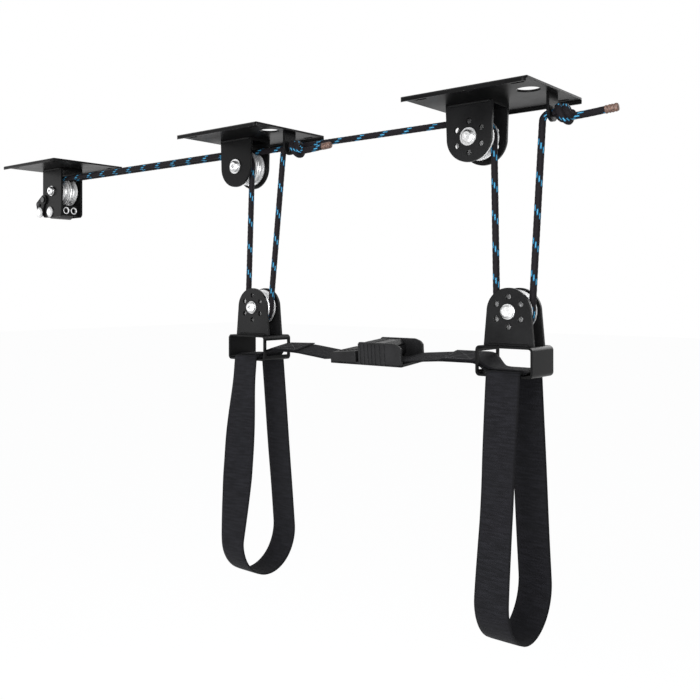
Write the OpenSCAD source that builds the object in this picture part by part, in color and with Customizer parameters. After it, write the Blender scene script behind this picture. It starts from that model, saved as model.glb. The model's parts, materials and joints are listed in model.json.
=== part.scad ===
// Overhead kayak hoist: a rope-lock bracket, two pulley brackets, two rope falls,
// two hanger blocks, two webbing slings and a link strap with a cam buckle.
// The origin is on the ceiling face, at the centre of the middle plate's slots.

/* [Layout] */
// Distance from the lock bracket's axle to the middle bracket's axle
lock_span = 530; // [420:5:900]
// Distance from the middle bracket's axle to the end bracket's axle
fall_span = 427; // [400:1:700]
// Depth of the hanger tubes' top face below the ceiling
hang_drop = 323; // [300:1:600]
// Place of the first hanger block along the hoist, from the middle axle
block_a_shift = 41; // [35:1:60]
// Place of the second hanger block along the hoist, from the end axle
block_b_shift = 54; // [40:1:60]

/* [Ceiling plates] */
// Length of a plate along the hoist
plate_l = 176; // [172:1:230]
// Width of a plate across the hoist
plate_w = 168; // [160:1:220]
// Thickness of the plate steel
plate_t = 3; // [2:0.5:4]
// Depth of the plates' folded lips, steel included
lip_h = 7; // [7:0.5:12]
// Outer radius of the plates' folds
fold_r = 5; // [5:0.5:6.5]
// Radius of the plates' corners
plate_corner_r = 6; // [3:0.5:10]
// Distance from the axle to the plate's edge on the lock side
plate_back = 56; // [48:1:62]
// Distance from the pulleys' middle to the plate's near edge
plate_near = 104; // [95:1:112]
// Distance from a slot's middle to the plate's end
slot_inset_x = 20; // [16:1:28]
// Distance from a slot's middle to the plate's side
slot_inset_y = 20; // [16:1:24]
// Length of a mounting slot
slot_l = 18; // [10:1:20]
// Width of a mounting slot
slot_w = 7; // [4:0.5:9]
// Diameter of the round hole beside the tie tab
hand_hole_d = 30; // [12:1:34]

/* [Clevises] */
// Width of a pulley bracket's cheeks at the plate
clevis_w = 70; // [68:1:78]
// Inside gap between a pulley bracket's cheeks
clevis_gap = 38; // [37:0.5:46]
// Thickness of the cheeks and ears
cheek_t = 4; // [2:0.5:5]
// Depth of the upper axles below the ceiling
axle_drop = 47.5; // [44:0.5:49]
// Radius of the cheeks' round end
cheek_r = 33.5; // [31:0.5:34]
// Diameter of the lightening holes
relief_d = 7.5; // [3:0.5:9]
// Radius of the ring of lightening holes in the end bracket
relief_ring = 21; // [20:0.5:23]

/* [Rope lock] */
// Width of the lock bracket's cheeks
lock_w = 66; // [64:0.5:67]
// Inside gap between the lock bracket's cheeks
lock_gap = 43; // [40:0.5:48]
// Depth of the lock bracket below the ceiling
lock_drop = 101; // [100:1:110]
// Radius of the lock bracket's lower corners
lock_corner_r = 8; // [2:1:12]
// Thickness of the swinging frame's plates
frame_t = 3; // [2:0.5:4]
// Diameter of the lock roller
roller_d = 16; // [12:1:18]
// Diameter of the holes in the rope guide
guide_hole_d = 12; // [10:0.5:14]

/* [Pulleys and axles] */
// Outer diameter of a pulley
pulley_d = 57; // [55:0.5:58]
// Width of a pulley
pulley_w = 16.5; // [15:0.5:17]
// Diameter of the rope's centre line round a pulley
pitch_d = 50; // [48:0.5:50]
// Diameter of an axle bolt
bolt_d = 10; // [6:0.5:11]
// Outer diameter of the pulley brackets' washers
washer_d = 24; // [18:0.5:26]
// Outer diameter of the other washers
small_washer_d = 20; // [18:0.5:24]
// Thickness of a washer
washer_t = 2; // [1:0.5:3]
// Outer diameter of an axle sleeve
sleeve_d = 16; // [14:0.5:17]
// Outer diameter of a pulley's bush
bush_d = 21; // [20:0.5:22]

/* [Rope] */
// Diameter of the rope
rope_d = 9.5; // [7:0.5:9.5]
// Radius of the rope's bend into the tie tab
bend_r = 10; // [8:0.5:12]
// Distance from a tie tab to the far end of its plate
tab_inset = 16; // [12:1:20]
// Depth of the rope's hole in a tie tab
tie_drop = 27; // [24:0.5:28]
// Length of rope past a stopper knot
tail_l = 38; // [15:1:60]
// Length of the sealed rope end
seal_l = 15; // [8:1:25]

/* [Hanger blocks] */
// Width of the hanger tube along the hoist
tube_w = 80; // [76:1:90]
// Length of the hanger tube across the hoist
tube_l = 61; // [58:1:80]
// Height of the hanger tube
tube_h = 40; // [38:1:56]
// Wall of the hanger tube
tube_t = 3; // [2:0.5:4]
// Inside gap between the ears
ear_gap = 26; // [24:0.5:34]
// Height of the lower axles above the tube
ear_rise = 44; // [40:0.5:52]
// Radius of the ears' round end
ear_r = 31; // [30:0.5:33]
// Radius of the ring of lightening holes in the ears
ear_ring = 19.5; // [19:0.5:21]
// Height of the strap window in a tube's side wall
window_h = 24; // [21:0.5:25]

/* [Webbing] */
// Width of the webbing
web_w = 48; // [36:1:50]
// Thickness of the sling webbing
web_t = 2.5; // [1.5:0.1:3]
// Depth of a sling's loop below the tube
sling_drop = 345; // [250:5:600]
// Outer radius of a sling's round bottom
sling_r = 62; // [45:1:110]
// Thickness of the link webbing
link_t = 2; // [1.5:0.1:2.2]
// Height of the link strap above the tubes' underside
link_rise = 22; // [20:0.5:23]
// Tilt of the link strap about its length
link_tilt = 12; // [0:1:13]
// Length of the part that is sewn back
lap_l = 55; // [30:1:60]

/* [Cam buckle] */
// Distance from the first block to the buckle
buckle_reach = 125; // [100:1:140]
// Length of the buckle
buckle_l = 125; // [115:1:135]
// Width of the buckle
buckle_w = 60; // [59:0.5:66]
// Height of the buckle
buckle_h = 33; // [32:0.5:40]
// Height of the strap in the buckle above the tubes' underside
buckle_rise = 12; // [9:0.5:14]
// Tilt of the buckle about its length
buckle_tilt = 5; // [0:1:8]
// Length of the pad that holds the fixed strap
pad_l = 46; // [36:1:50]

/* [Hidden] */
$fn = 64;

// Colours
black_paint = [0.07, 0.07, 0.075];
zinc = [0.78, 0.79, 0.80];
bright = [0.88, 0.88, 0.89];
bronze = [0.62, 0.47, 0.25];
rubber_grey = [0.32, 0.32, 0.33];
webbing = [0.06, 0.06, 0.065];
rope_black = [0.05, 0.07, 0.10];
plastic = [0.09, 0.09, 0.10];
seal_brown = [0.36, 0.22, 0.13];

// Clearances
run_gap = 0.3;      // between parts that move past each other
loop_gap = 0.02;     // between a rope's fall and its turn round a hanger pulley
axial_play = 0.15;  // between a pulley and the ring beside it
slip = 0.05;        // round a shaft that turns
hole_gap = 0.1;     // round a bolt in its hole
press_gap = 0.02;   // round a pressed pin or bush
over = 1;           // overrun of a cut
weld_r = 3;

// Rope and pulley sizes
rope_r = rope_d / 2;
pitch_r = pitch_d / 2;
loop_turn = asin(loop_gap / pitch_r);
pulley_r = pulley_d / 2;
groove_r = rope_r + run_gap;
bolt_r = bolt_d / 2;
sleeve_r = sleeve_d / 2;
bush_r = bush_d / 2;
ring_wall = 2.5;
ring_r = bush_r + ring_wall;
pair_gap = 2;
rope_y = (pulley_w + pair_gap) / 2;

// Bracket places: x is along the hoist, y across it
mid_x = plate_back - plate_l / 2;
mid_y = plate_near - plate_w / 2;
lock_x = mid_x - lock_span;
end_x = mid_x + fall_span;
side_a_y = mid_y - rope_y;
side_b_y = mid_y + rope_y;
plate_mid_x = plate_l / 2 - plate_back;
plate_mid_y = plate_w / 2 - plate_near;
slot_pitch_x = plate_l - 2 * slot_inset_x;
slot_pitch_y = plate_w - 2 * slot_inset_y;
tab_reach = plate_l - plate_back - tab_inset;
run_z = pitch_r - axle_drop;

// Hanger places
hang_a_x = mid_x + block_a_shift;
hang_b_x = end_x + block_b_shift;
low_axle_z = ear_rise - hang_drop;
tube_low_z = -hang_drop - tube_h;
tube_floor_z = tube_low_z + tube_t;

// Lock details, from the lock bracket's axle
pin_r = 4;
frame_gap = 0.5;
stud_r = 3.5;
stud_head_r = 5.5;
stud_head_t = 2;
lobe_r = 10;
arm_r = 5;
boss_r = 9;
thumb_r = 5.5;
thumb_end_r = 3.5;
thumb_reach = 21;
thumb_sink = 8;
cap_r = 10.5;
cap_t = 4;
tail_gap = 4;
pin_rise = 11;
pivot_x = -pitch_r - stud_r / 2;
pivot_z = -axle_drop - pulley_r * 0.58;
roller_r = roller_d / 2;
roller_x = -(pitch_r + rope_r + roller_r + run_gap);
roller_z = -lock_drop + pin_rise;
anvil_x = -6;
anvil_r = pitch_r - rope_r + anvil_x - run_gap;
thumb_x = pivot_x - thumb_reach;
thumb_z = pivot_z - thumb_sink;
frame_window_r = 3.5;
guide_t = 4;
guide_h = 22;
guide_low_z = -lock_drop + guide_t / 2;
guide_x = lock_w / 2 - guide_h / 2;

// Fasteners
head_r = bolt_d * 0.875;
head_h = bolt_d * 0.5;
socket_r = bolt_d * 0.32;
nut_r = bolt_d * 0.98;
nut_h = bolt_d * 0.8;
bolt_end = 2;

// Plate and tie tab details
hand_hole_inset = 10;
hand_hole_x = tab_reach - hand_hole_inset;
hand_hole_y = 42;
tab_t = 4;
tab_w = 26;
tab_h = 35;
tie_gap = 0.6;
bend_gap = 1;

// Stopper knots, each a double turn round the rope
knot_turns = 2;
knot_pitch = 9.7;
knot_r = 8.6;
knot_lead = 70;
knot_rings = 26;
rope_sides = 20;
bend_steps = 10;
tail_sag = 5;
seal_wall = 0.4;

// Hanger details
tube_r = 6;
ear_inset = 5;
ear_w = tube_w - 2 * ear_inset;
window_post = 4.5;
window_w = tube_l - 2 * window_post;
window_sink = 2;
fold_share = 0.5;
sling_tuck = 0.1;

// Link strap layers
layer_gap = 0.3;
link_z = tube_low_z + link_rise;
link_pitch = link_t + layer_gap;
link_turn = 15;

// Buckle details, from its strap line at its end on the first block's side
buckle_x = hang_a_x + tube_w / 2 + buckle_reach;
buckle_z = tube_low_z + buckle_rise;
buckle_base_t = 4;
buckle_side_t = 4;
slot_side = 0.5;
slot_half_h = link_t / 2 + layer_gap;
buckle_low = -slot_half_h - buckle_base_t;
buckle_top = buckle_low + buckle_h;
side_gap = 5;
side_x = pad_l + side_gap;
side_l = buckle_l - side_x;
pad_share = 0.5;
pad_slope_share = 0.1;
rib_shares = [0.04, 0.22, 0.39, 0.61];
rib_w = 2.2;
rib_t = 0.8;
cam_r = 10;
cam_pin_r = 3;
cam_x = side_x + side_l / 2;
cam_z = slot_half_h + cam_r;
cam_side = 0.5;
lever_l = 34;
lever_t = 3;
lever_sink = 1.5;
lever_top = buckle_top - lever_sink - cam_z;
exit_rise = 5;

// Angles of the rope's straight falls, from the tangents between two round paths
function down_lean(u, l) =
    asin(2 * pitch_r / norm(u - l)) - atan2(l[0] - u[0], u[1] - l[1]);
function back_lean(l, c) =
    atan2(c[0] - l[0], c[1] - l[1]) - asin((pitch_r + bend_r) / norm(c - l));
function polar(c, r, a) = [c[0] + r * cos(a), c[1] + r * sin(a)];

up_a = [mid_x, -axle_drop];
up_b = [end_x, -axle_drop];
low_a = [hang_a_x, low_axle_z];
low_b = [hang_b_x, low_axle_z];
bend_a = [mid_x + tab_reach - bend_gap, -tie_drop - bend_r];
bend_b = [end_x + tab_reach - bend_gap, -tie_drop - bend_r];
down_a = down_lean(up_a, low_a);
down_b = down_lean(up_b, low_b);
back_a = back_lean(low_a, bend_a);
back_b = back_lean(low_b, bend_b);

// Flat shapes stood in the plane of the hoist, from y0 for a thickness of t
module upright(y0, t) {
    translate([0, y0 + t, 0])
        rotate([90, 0, 0])
            linear_extrude(t)
                children();
}

// Flat shapes stood across the hoist, from x0 for a length of l
module across(x0, l) {
    translate([x0, 0, 0])
        rotate([90, 0, 90])
            linear_extrude(l)
                children();
}

// A round bar along y
module y_bar(x, z, r, y0, l) {
    translate([x, y0, z])
        rotate([-90, 0, 0])
            cylinder(r = r, h = l);
}

// A round ring along y
module y_ring(x, z, r, bore, y0, l) {
    difference() {
        y_bar(x, z, r, y0, l);
        y_bar(x, z, bore, y0 - over, l + 2 * over);
    }
}

module slot_shape(l, w) {
    for (s = [-1, 1])
        translate([s * (l - w) / 2, 0])
            circle(r = w / 2);
    square([l - w, w], center = true);
}

module round_rect(l, w, r) {
    square([l - 2 * r, w], center = true);
    square([l, w - 2 * r], center = true);
    for (x = [-1, 1], y = [-1, 1])
        translate([x * (l / 2 - r), y * (w / 2 - r)])
            circle(r = r);
}

// A closed skin over a row of rings, each with as many points as the first
module skin(rings) {
    n = len(rings);
    m = len(rings[0]);
    sides = [for (i = [0:n - 2], k = [0:m - 1])
        let (a = m * i + k, b = m * i + (k + 1) % m)
        each [[a, a + m, b], [b, a + m, b + m]]];
    last = m * (n - 1);
    caps = [for (k = [1:m - 2])
        each [[0, k, k + 1], [last + k + 1, last + k, last]]];
    polyhedron(points = [for (r = rings) each r], faces = concat(sides, caps));
}

// Section of a plate with both long edges folded down
module fold_shape(w, r, h) {
    translate([-w / 2 + r, -h])
        square([w - 2 * r, h]);
    translate([-w / 2, -h])
        square([w, h - r]);
    for (s = [-1, 1])
        translate([s * (w / 2 - r), -r])
            circle(r = r);
}

// Ceiling plate over the bracket whose axle is at x and whose middle is at y
module ceiling_plate(x, y, with_hole) {
    color(black_paint)
        translate([x + plate_mid_x, y + plate_mid_y, 0])
            difference() {
                intersection() {
                    across(-plate_l / 2, plate_l)
                        difference() {
                            fold_shape(plate_w, fold_r, lip_h);
                            translate([0, -plate_t])
                                fold_shape(plate_w - 2 * plate_t, fold_r - plate_t, lip_h);
                        }
                    translate([0, 0, -lip_h])
                        linear_extrude(lip_h + over)
                            round_rect(plate_l, plate_w, plate_corner_r);
                }
                translate([0, 0, -plate_t - over])
                    linear_extrude(plate_t + 2 * over) {
                        for (sx = [-1, 1], sy = [-1, 1])
                            translate([sx * slot_pitch_x / 2, sy * slot_pitch_y / 2])
                                slot_shape(slot_l, slot_w);
                        if (with_hole)
                            translate([hand_hole_x - plate_mid_x, -hand_hole_y - plate_mid_y])
                                circle(r = hand_hole_d / 2);
                    }
            }
}

module lock_plate() {
    ceiling_plate(lock_x, mid_y, false);
}

module middle_plate() {
    ceiling_plate(mid_x, mid_y, true);
}

module end_plate() {
    ceiling_plate(end_x, side_b_y, true);
}

// Six lightening holes round an axle
module relief_holes(ring) {
    for (i = [0:5])
        rotate(30 + i * 60)
            translate([ring, 0])
                circle(r = relief_d / 2);
}

// Cheek or ear, about its axle: a round end and two sides that run to a foot
module round_cheek(r, foot_w, foot_z, ring) {
    difference() {
        union() {
            circle(r = r);
            polygon([[-r, 0], [-foot_w / 2, foot_z], [foot_w / 2, foot_z], [r, 0]]);
        }
        circle(r = bolt_r + hole_gap);
        if (ring > 0)
            relief_holes(ring);
    }
}

// Web of a bracket, flat against the plate
module clevis_web(w, gap) {
    translate([-w / 2, -gap / 2, -plate_t - cheek_t])
        cube([w, gap, cheek_t]);
}

// Pulley bracket: a web under the plate and two cheeks
module pulley_clevis(x, y, ring) {
    color(black_paint)
        translate([x, y, 0]) {
            clevis_web(clevis_w, clevis_gap);
            translate([0, 0, -axle_drop])
                for (y0 = [-clevis_gap / 2 - cheek_t, clevis_gap / 2])
                    upright(y0, cheek_t)
                        round_cheek(cheek_r, clevis_w, axle_drop - plate_t, ring);
        }
}

module middle_clevis() {
    pulley_clevis(mid_x, mid_y, 0);
}

module end_clevis() {
    pulley_clevis(end_x, side_b_y, relief_ring);
}

// Cheek of the lock bracket, about the axle
module lock_cheek() {
    top = axle_drop - plate_t;
    low = axle_drop - lock_drop;
    half = lock_w / 2;
    r = lock_corner_r;
    difference() {
        union() {
            translate([-half, low + r])
                square([lock_w, top - low - r]);
            translate([-half + r, low])
                square([lock_w - 2 * r, 2 * r]);
            for (s = [-1, 1])
                translate([s * (half - r), low + r])
                    circle(r = r);
        }
        circle(r = bolt_r + hole_gap);
        translate([anvil_x, roller_z + axle_drop])
            circle(r = pin_r + hole_gap);
    }
}

module lock_clevis() {
    color(black_paint)
        translate([lock_x, mid_y, 0]) {
            clevis_web(lock_w, lock_gap);
            translate([0, 0, -axle_drop])
                for (y0 = [-lock_gap / 2 - cheek_t, lock_gap / 2])
                    upright(y0, cheek_t) lock_cheek();
        }
}

// Tab welded under a plate, with the hole that the rope is tied through
module tie_tab(x, y) {
    half = tab_w / 2;
    translate([0, y, 0])
        across(x + tab_reach, tab_t)
            difference() {
                union() {
                    translate([-half, -plate_t - tab_h + half])
                        square([tab_w, tab_h - half]);
                    translate([0, -plate_t - tab_h + half])
                        circle(r = half);
                }
                translate([0, -tie_drop])
                    circle(r = rope_r + tie_gap);
            }
}

module tie_tabs() {
    color(black_paint) {
        tie_tab(mid_x, side_a_y);
        tie_tab(end_x, side_b_y);
    }
}

// Quarter-round weld bead along x, in the corner beside y and above or below z
module bead(x, y, z, l, side, up) {
    across(x - l / 2, l)
        translate([y, z])
            intersection() {
                circle(r = weld_r);
                translate([min(side, 0) * weld_r, min(up, 0) * weld_r])
                    square(weld_r);
            }
}

module bracket_welds() {
    places = [[lock_x, mid_y, lock_w, lock_gap], [mid_x, mid_y, clevis_w, clevis_gap],
              [end_x, side_b_y, clevis_w, clevis_gap]];
    color(black_paint)
        for (p = places, s = [-1, 1])
            bead(p[0], p[1] + s * (p[3] / 2 + cheek_t), -plate_t, p[2] - 2 * weld_r, s, -1);
}

// Axle bolt with a domed socket head, through a gap between two cheeks
module axle_bolt(x, y, z, gap) {
    seat = gap / 2 + cheek_t + washer_t;
    rim = head_h * 0.6;
    difference() {
        union() {
            y_bar(x, z, bolt_r, y - seat, 2 * seat + nut_h + bolt_end);
            y_bar(x, z, head_r, y - seat - rim, rim);
            translate([x, y - seat - rim, z])
                rotate([90, 0, 0])
                    cylinder(r1 = head_r, r2 = head_r * 0.7, h = head_h - rim);
        }
        translate([x, y - seat - head_h - over, z])
            rotate([-90, 0, 0])
                cylinder(r = socket_r, h = rim + over, $fn = 6);
    }
}

module bracket_bolts() {
    color(bright) {
        axle_bolt(lock_x, mid_y, -axle_drop, lock_gap);
        axle_bolt(mid_x, mid_y, -axle_drop, clevis_gap);
        axle_bolt(end_x, side_b_y, -axle_drop, clevis_gap);
    }
}

module hanger_bolts() {
    color(bright) {
        axle_bolt(hang_a_x, side_a_y, low_axle_z, ear_gap);
        axle_bolt(hang_b_x, side_b_y, low_axle_z, ear_gap);
    }
}

module hex_nut(x, y, z, gap) {
    seat = gap / 2 + cheek_t + washer_t;
    difference() {
        translate([x, y + seat, z])
            rotate([-90, 0, 0])
                cylinder(r = nut_r, h = nut_h, $fn = 6);
        y_bar(x, z, bolt_r + slip, y + seat - over, nut_h + 2 * over);
    }
}

module bracket_nuts() {
    color(zinc) {
        hex_nut(lock_x, mid_y, -axle_drop, lock_gap);
        hex_nut(mid_x, mid_y, -axle_drop, clevis_gap);
        hex_nut(end_x, side_b_y, -axle_drop, clevis_gap);
    }
}

module hanger_nuts() {
    color(zinc) {
        hex_nut(hang_a_x, side_a_y, low_axle_z, ear_gap);
        hex_nut(hang_b_x, side_b_y, low_axle_z, ear_gap);
    }
}

// One washer outside each cheek
module washer_pair(x, y, z, gap, d) {
    face = gap / 2 + cheek_t;
    for (y0 = [-face - washer_t, face])
        y_ring(x, z, d / 2, bolt_r + hole_gap, y + y0, washer_t);
}

module bracket_washers() {
    color(zinc) {
        washer_pair(lock_x, mid_y, -axle_drop, lock_gap, small_washer_d);
        washer_pair(mid_x, mid_y, -axle_drop, clevis_gap, washer_d);
        washer_pair(end_x, side_b_y, -axle_drop, clevis_gap, washer_d);
    }
}

module hanger_washers() {
    color(zinc) {
        washer_pair(hang_a_x, side_a_y, low_axle_z, ear_gap, small_washer_d);
        washer_pair(hang_b_x, side_b_y, low_axle_z, ear_gap, small_washer_d);
    }
}

// Sleeve on the bolt, clamped between the cheeks
module axle_sleeve(x, y, z, gap) {
    y_ring(x, z, sleeve_r, bolt_r + hole_gap, y - gap / 2, gap);
}

module bracket_sleeves() {
    color(zinc) {
        axle_sleeve(lock_x, mid_y, -axle_drop, lock_gap);
        axle_sleeve(mid_x, mid_y, -axle_drop, clevis_gap);
        axle_sleeve(end_x, side_b_y, -axle_drop, clevis_gap);
    }
}

module hanger_sleeves() {
    color(zinc) {
        axle_sleeve(hang_a_x, side_a_y, low_axle_z, ear_gap);
        axle_sleeve(hang_b_x, side_b_y, low_axle_z, ear_gap);
    }
}

// Rings that keep the pulleys in place along a sleeve
module side_rings(x, y, z, gap, pack_w) {
    l = (gap - pack_w) / 2 - axial_play;
    for (y0 = [-gap / 2, gap / 2 - l])
        y_ring(x, z, ring_r, sleeve_r + slip, y + y0, l);
}

module middle_ring(x, y, z) {
    l = pair_gap - 2 * axial_play;
    y_ring(x, z, ring_r, sleeve_r + slip, y - l / 2, l);
}

module bracket_spacers() {
    pair_w = 2 * pulley_w + pair_gap;
    color(zinc) {
        side_rings(lock_x, mid_y, -axle_drop, lock_gap, pair_w);
        middle_ring(lock_x, mid_y, -axle_drop);
        side_rings(mid_x, mid_y, -axle_drop, clevis_gap, pair_w);
        middle_ring(mid_x, mid_y, -axle_drop);
        side_rings(end_x, side_b_y, -axle_drop, clevis_gap, pulley_w);
    }
}

module hanger_spacers() {
    color(zinc) {
        side_rings(hang_a_x, side_a_y, low_axle_z, ear_gap, pulley_w);
        side_rings(hang_b_x, side_b_y, low_axle_z, ear_gap, pulley_w);
    }
}

// Half section of a pulley: radius across, width up
module pulley_section() {
    half = pulley_w / 2;
    dish = pulley_w * 0.15;
    hub = bush_r + dish * 1.6;
    rim = pitch_r - dish;
    bevel = dish / 2;
    bore = bush_r + press_gap;
    difference() {
        polygon([[bore, -half], [hub, -half], [hub + bevel, -half + dish], [rim - bevel, -half + dish],
                 [rim, -half], [pulley_r - bevel / 2, -half], [pulley_r, -half + bevel / 2],
                 [pulley_r, half - bevel / 2], [pulley_r - bevel / 2, half], [rim, half],
                 [rim - bevel, half - dish], [hub + bevel, half - dish], [hub, half], [bore, half]]);
        translate([pitch_r, 0])
            circle(r = groove_r);
        polygon([[pitch_r, -groove_r], [pulley_r + over, -groove_r - bevel],
                 [pulley_r + over, groove_r + bevel], [pitch_r, groove_r]]);
    }
}

module pulley(x, y, z) {
    color(zinc)
        translate([x, y, z])
            rotate([-90, 0, 0])
                rotate_extrude()
                    pulley_section();
}

module bush(x, y, z) {
    color(bronze) y_ring(x, z, bush_r, sleeve_r + slip, y - pulley_w / 2, pulley_w);
}

module lock_pulley_a() {
    pulley(lock_x, side_a_y, -axle_drop);
}

module lock_pulley_b() {
    pulley(lock_x, side_b_y, -axle_drop);
}

module middle_pulley_a() {
    pulley(mid_x, side_a_y, -axle_drop);
}

module middle_pulley_b() {
    pulley(mid_x, side_b_y, -axle_drop);
}

module end_pulley() {
    pulley(end_x, side_b_y, -axle_drop);
}

module hanger_pulley_a() {
    pulley(hang_a_x, side_a_y, low_axle_z);
}

module hanger_pulley_b() {
    pulley(hang_b_x, side_b_y, low_axle_z);
}

module lock_bush_a() {
    bush(lock_x, side_a_y, -axle_drop);
}

module lock_bush_b() {
    bush(lock_x, side_b_y, -axle_drop);
}

module middle_bush_a() {
    bush(mid_x, side_a_y, -axle_drop);
}

module middle_bush_b() {
    bush(mid_x, side_b_y, -axle_drop);
}

module end_bush() {
    bush(end_x, side_b_y, -axle_drop);
}

module hanger_bush_a() {
    bush(hang_a_x, side_a_y, low_axle_z);
}

module hanger_bush_b() {
    bush(hang_b_x, side_b_y, low_axle_z);
}

// Plate between the lock's cheeks with two holes that lead the ropes out
module rope_guide() {
    color(black_paint)
        translate([0, mid_y, 0])
            across(lock_x + guide_x, guide_t)
                difference() {
                    translate([-lock_gap / 2, guide_low_z])
                        square([lock_gap, guide_h]);
                    for (s = [-1, 1])
                        translate([s * rope_y, guide_low_z + guide_h / 2])
                            circle(r = guide_hole_d / 2);
                }
}

// Domed cap on the end of a lock pin
module pin_cap(x, z, face, side) {
    translate([x, face, z])
        rotate([side * -90, 0, 0]) {
            cylinder(r = cap_r, h = cap_t / 2);
            translate([0, 0, cap_t / 2])
                cylinder(r1 = cap_r, r2 = cap_r * 0.62, h = cap_t / 2);
        }
}

module capped_pin(x, z, outer) {
    y_bar(x, z, pin_r, -outer, 2 * outer);
    for (s = [-1, 1])
        pin_cap(x, z, s * outer, s);
}

// Fixed bolt that the ropes are pinched against
module anvil_bolt() {
    color(bright)
        translate([lock_x, mid_y, 0])
            capped_pin(anvil_x, roller_z, lock_gap / 2 + cheek_t);
}

module anvil_sleeve() {
    color(zinc)
        translate([lock_x, mid_y, 0])
            y_ring(anvil_x, roller_z, anvil_r, pin_r + slip, -lock_gap / 2, lock_gap);
}

module link_bar(x1, z1, r1, x2, z2, r2) {
    hull() {
        translate([x1, z1])
            circle(r = r1, $fn = 32);
        translate([x2, z2])
            circle(r = r2, $fn = 32);
    }
}

// Outline of one plate of the swinging frame
module frame_shape() {
    difference() {
        union() {
            link_bar(pivot_x, pivot_z, lobe_r, thumb_x, thumb_z, arm_r);
            link_bar(thumb_x, thumb_z, arm_r, roller_x, roller_z, boss_r);
            link_bar(pivot_x, pivot_z, arm_r, roller_x + pin_r, roller_z, arm_r);
        }
        translate([pivot_x, pivot_z])
            circle(r = stud_r + slip);
        translate([roller_x, roller_z])
            circle(r = pin_r + press_gap);
        translate([thumb_x, thumb_z])
            circle(r = thumb_end_r + press_gap);
        translate([(pivot_x + thumb_x + roller_x) / 3, (pivot_z + thumb_z + roller_z) / 3])
            circle(r = frame_window_r);
    }
}

module lock_frame() {
    inner = lock_gap / 2 + cheek_t + frame_gap;
    color(black_paint)
        translate([lock_x, mid_y, 0])
            for (y0 = [-inner - frame_t, inner])
                upright(y0, frame_t) frame_shape();
}

// Studs on the cheeks that the frame swings on
module lock_studs() {
    inner = lock_gap / 2 + cheek_t;
    l = frame_t + 2 * frame_gap;
    color(zinc)
        translate([lock_x, mid_y, 0])
            for (s = [-1, 1])
                translate([pivot_x, s * inner, pivot_z])
                    rotate([s * -90, 0, 0]) {
                        cylinder(r = stud_r, h = l + stud_head_t);
                        translate([0, 0, l])
                            cylinder(r = stud_head_r, h = stud_head_t);
                    }
}

module lock_roller_pin() {
    color(bright)
        translate([lock_x, mid_y, 0])
            capped_pin(roller_x, roller_z, lock_gap / 2 + cheek_t + frame_gap + frame_t);
}

module lock_roller() {
    l = lock_gap - 2 * frame_gap;
    color(zinc)
        translate([lock_x, mid_y, 0])
            y_ring(roller_x, roller_z, roller_r, pin_r + slip, -l / 2, l);
}

module thumb_bar() {
    inner = lock_gap / 2 + cheek_t + frame_gap;
    color(rubber_grey)
        translate([lock_x, mid_y, 0]) {
            y_bar(thumb_x, thumb_z, thumb_end_r, -inner - frame_t, 2 * (inner + frame_t));
            y_bar(thumb_x, thumb_z, thumb_r, -inner, 2 * inner);
        }
}

// Hanger tube, open across the hoist, with a strap window in the wall on one side
module hanger_tube(x, y, side) {
    color(black_paint)
        translate([x, y, 0])
            difference() {
                translate([0, 0, tube_low_z + tube_h / 2])
                    upright(-tube_l / 2, tube_l)
                        difference() {
                            round_rect(tube_w, tube_h, tube_r);
                            round_rect(tube_w - 2 * tube_t, tube_h - 2 * tube_t, tube_r - tube_t);
                        }
                translate([side * (tube_w - tube_t) / 2, 0, link_z - window_sink])
                    cube([tube_t + 2 * over, window_w, window_h], center = true);
            }
}

module hanger_tube_a() {
    hanger_tube(hang_a_x, side_a_y, 1);
}

module hanger_tube_b() {
    hanger_tube(hang_b_x, side_b_y, -1);
}

// Two ears welded on top of a hanger tube
module ear_pair(x, y) {
    half = ear_gap / 2;
    translate([x, y, low_axle_z])
        for (y0 = [-half - cheek_t, half])
            upright(y0, cheek_t)
                round_cheek(ear_r, ear_w, -ear_rise, ear_ring);
}

module hanger_ears() {
    color(black_paint) {
        ear_pair(hang_a_x, side_a_y);
        ear_pair(hang_b_x, side_b_y);
    }
}

module hanger_welds() {
    color(black_paint)
        for (p = [[hang_a_x, side_a_y], [hang_b_x, side_b_y]], s = [-1, 1])
            bead(p[0], p[1] + s * (ear_gap / 2 + cheek_t), -hang_drop, ear_w - 4 * weld_r, s, 1);
}

// Block with the outline of a sling, or of the space in it where grow is zero: over the
// tube's floor, out at both mouths and round the bottom
module sling_block(x0, l, grow) {
    r = sling_r - web_t + grow;
    c = [0, tube_low_z - sling_drop + sling_r];
    top = tube_floor_z + link_pitch + grow;
    edge = tube_l / 2 + run_gap + grow;
    fold = (web_t + grow) * fold_share;
    run = [edge, tube_low_z] - c;
    touch = polar(c, r - sling_tuck, asin(r / norm(run)) - atan2(run[0], run[1]));
    across(x0, l)
        polygon([[-edge, tube_low_z], [-edge, top - fold], [-edge + fold, top], [edge - fold, top],
                 [edge, top - fold], [edge, tube_low_z], touch, [-touch[0], touch[1]]]);
    across(x0, l)
        translate(c)
            circle(r = r);
}

module sling(x, y) {
    color(webbing)
        translate([0, y, 0])
            difference() {
                sling_block(x - web_w / 2, web_w, web_t);
                sling_block(x - web_w / 2 - over, web_w + 2 * over, 0);
            }
}

module sling_a() {
    sling(hang_a_x, side_a_y);
}

module sling_b() {
    sling(hang_b_x, side_b_y);
}

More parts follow.
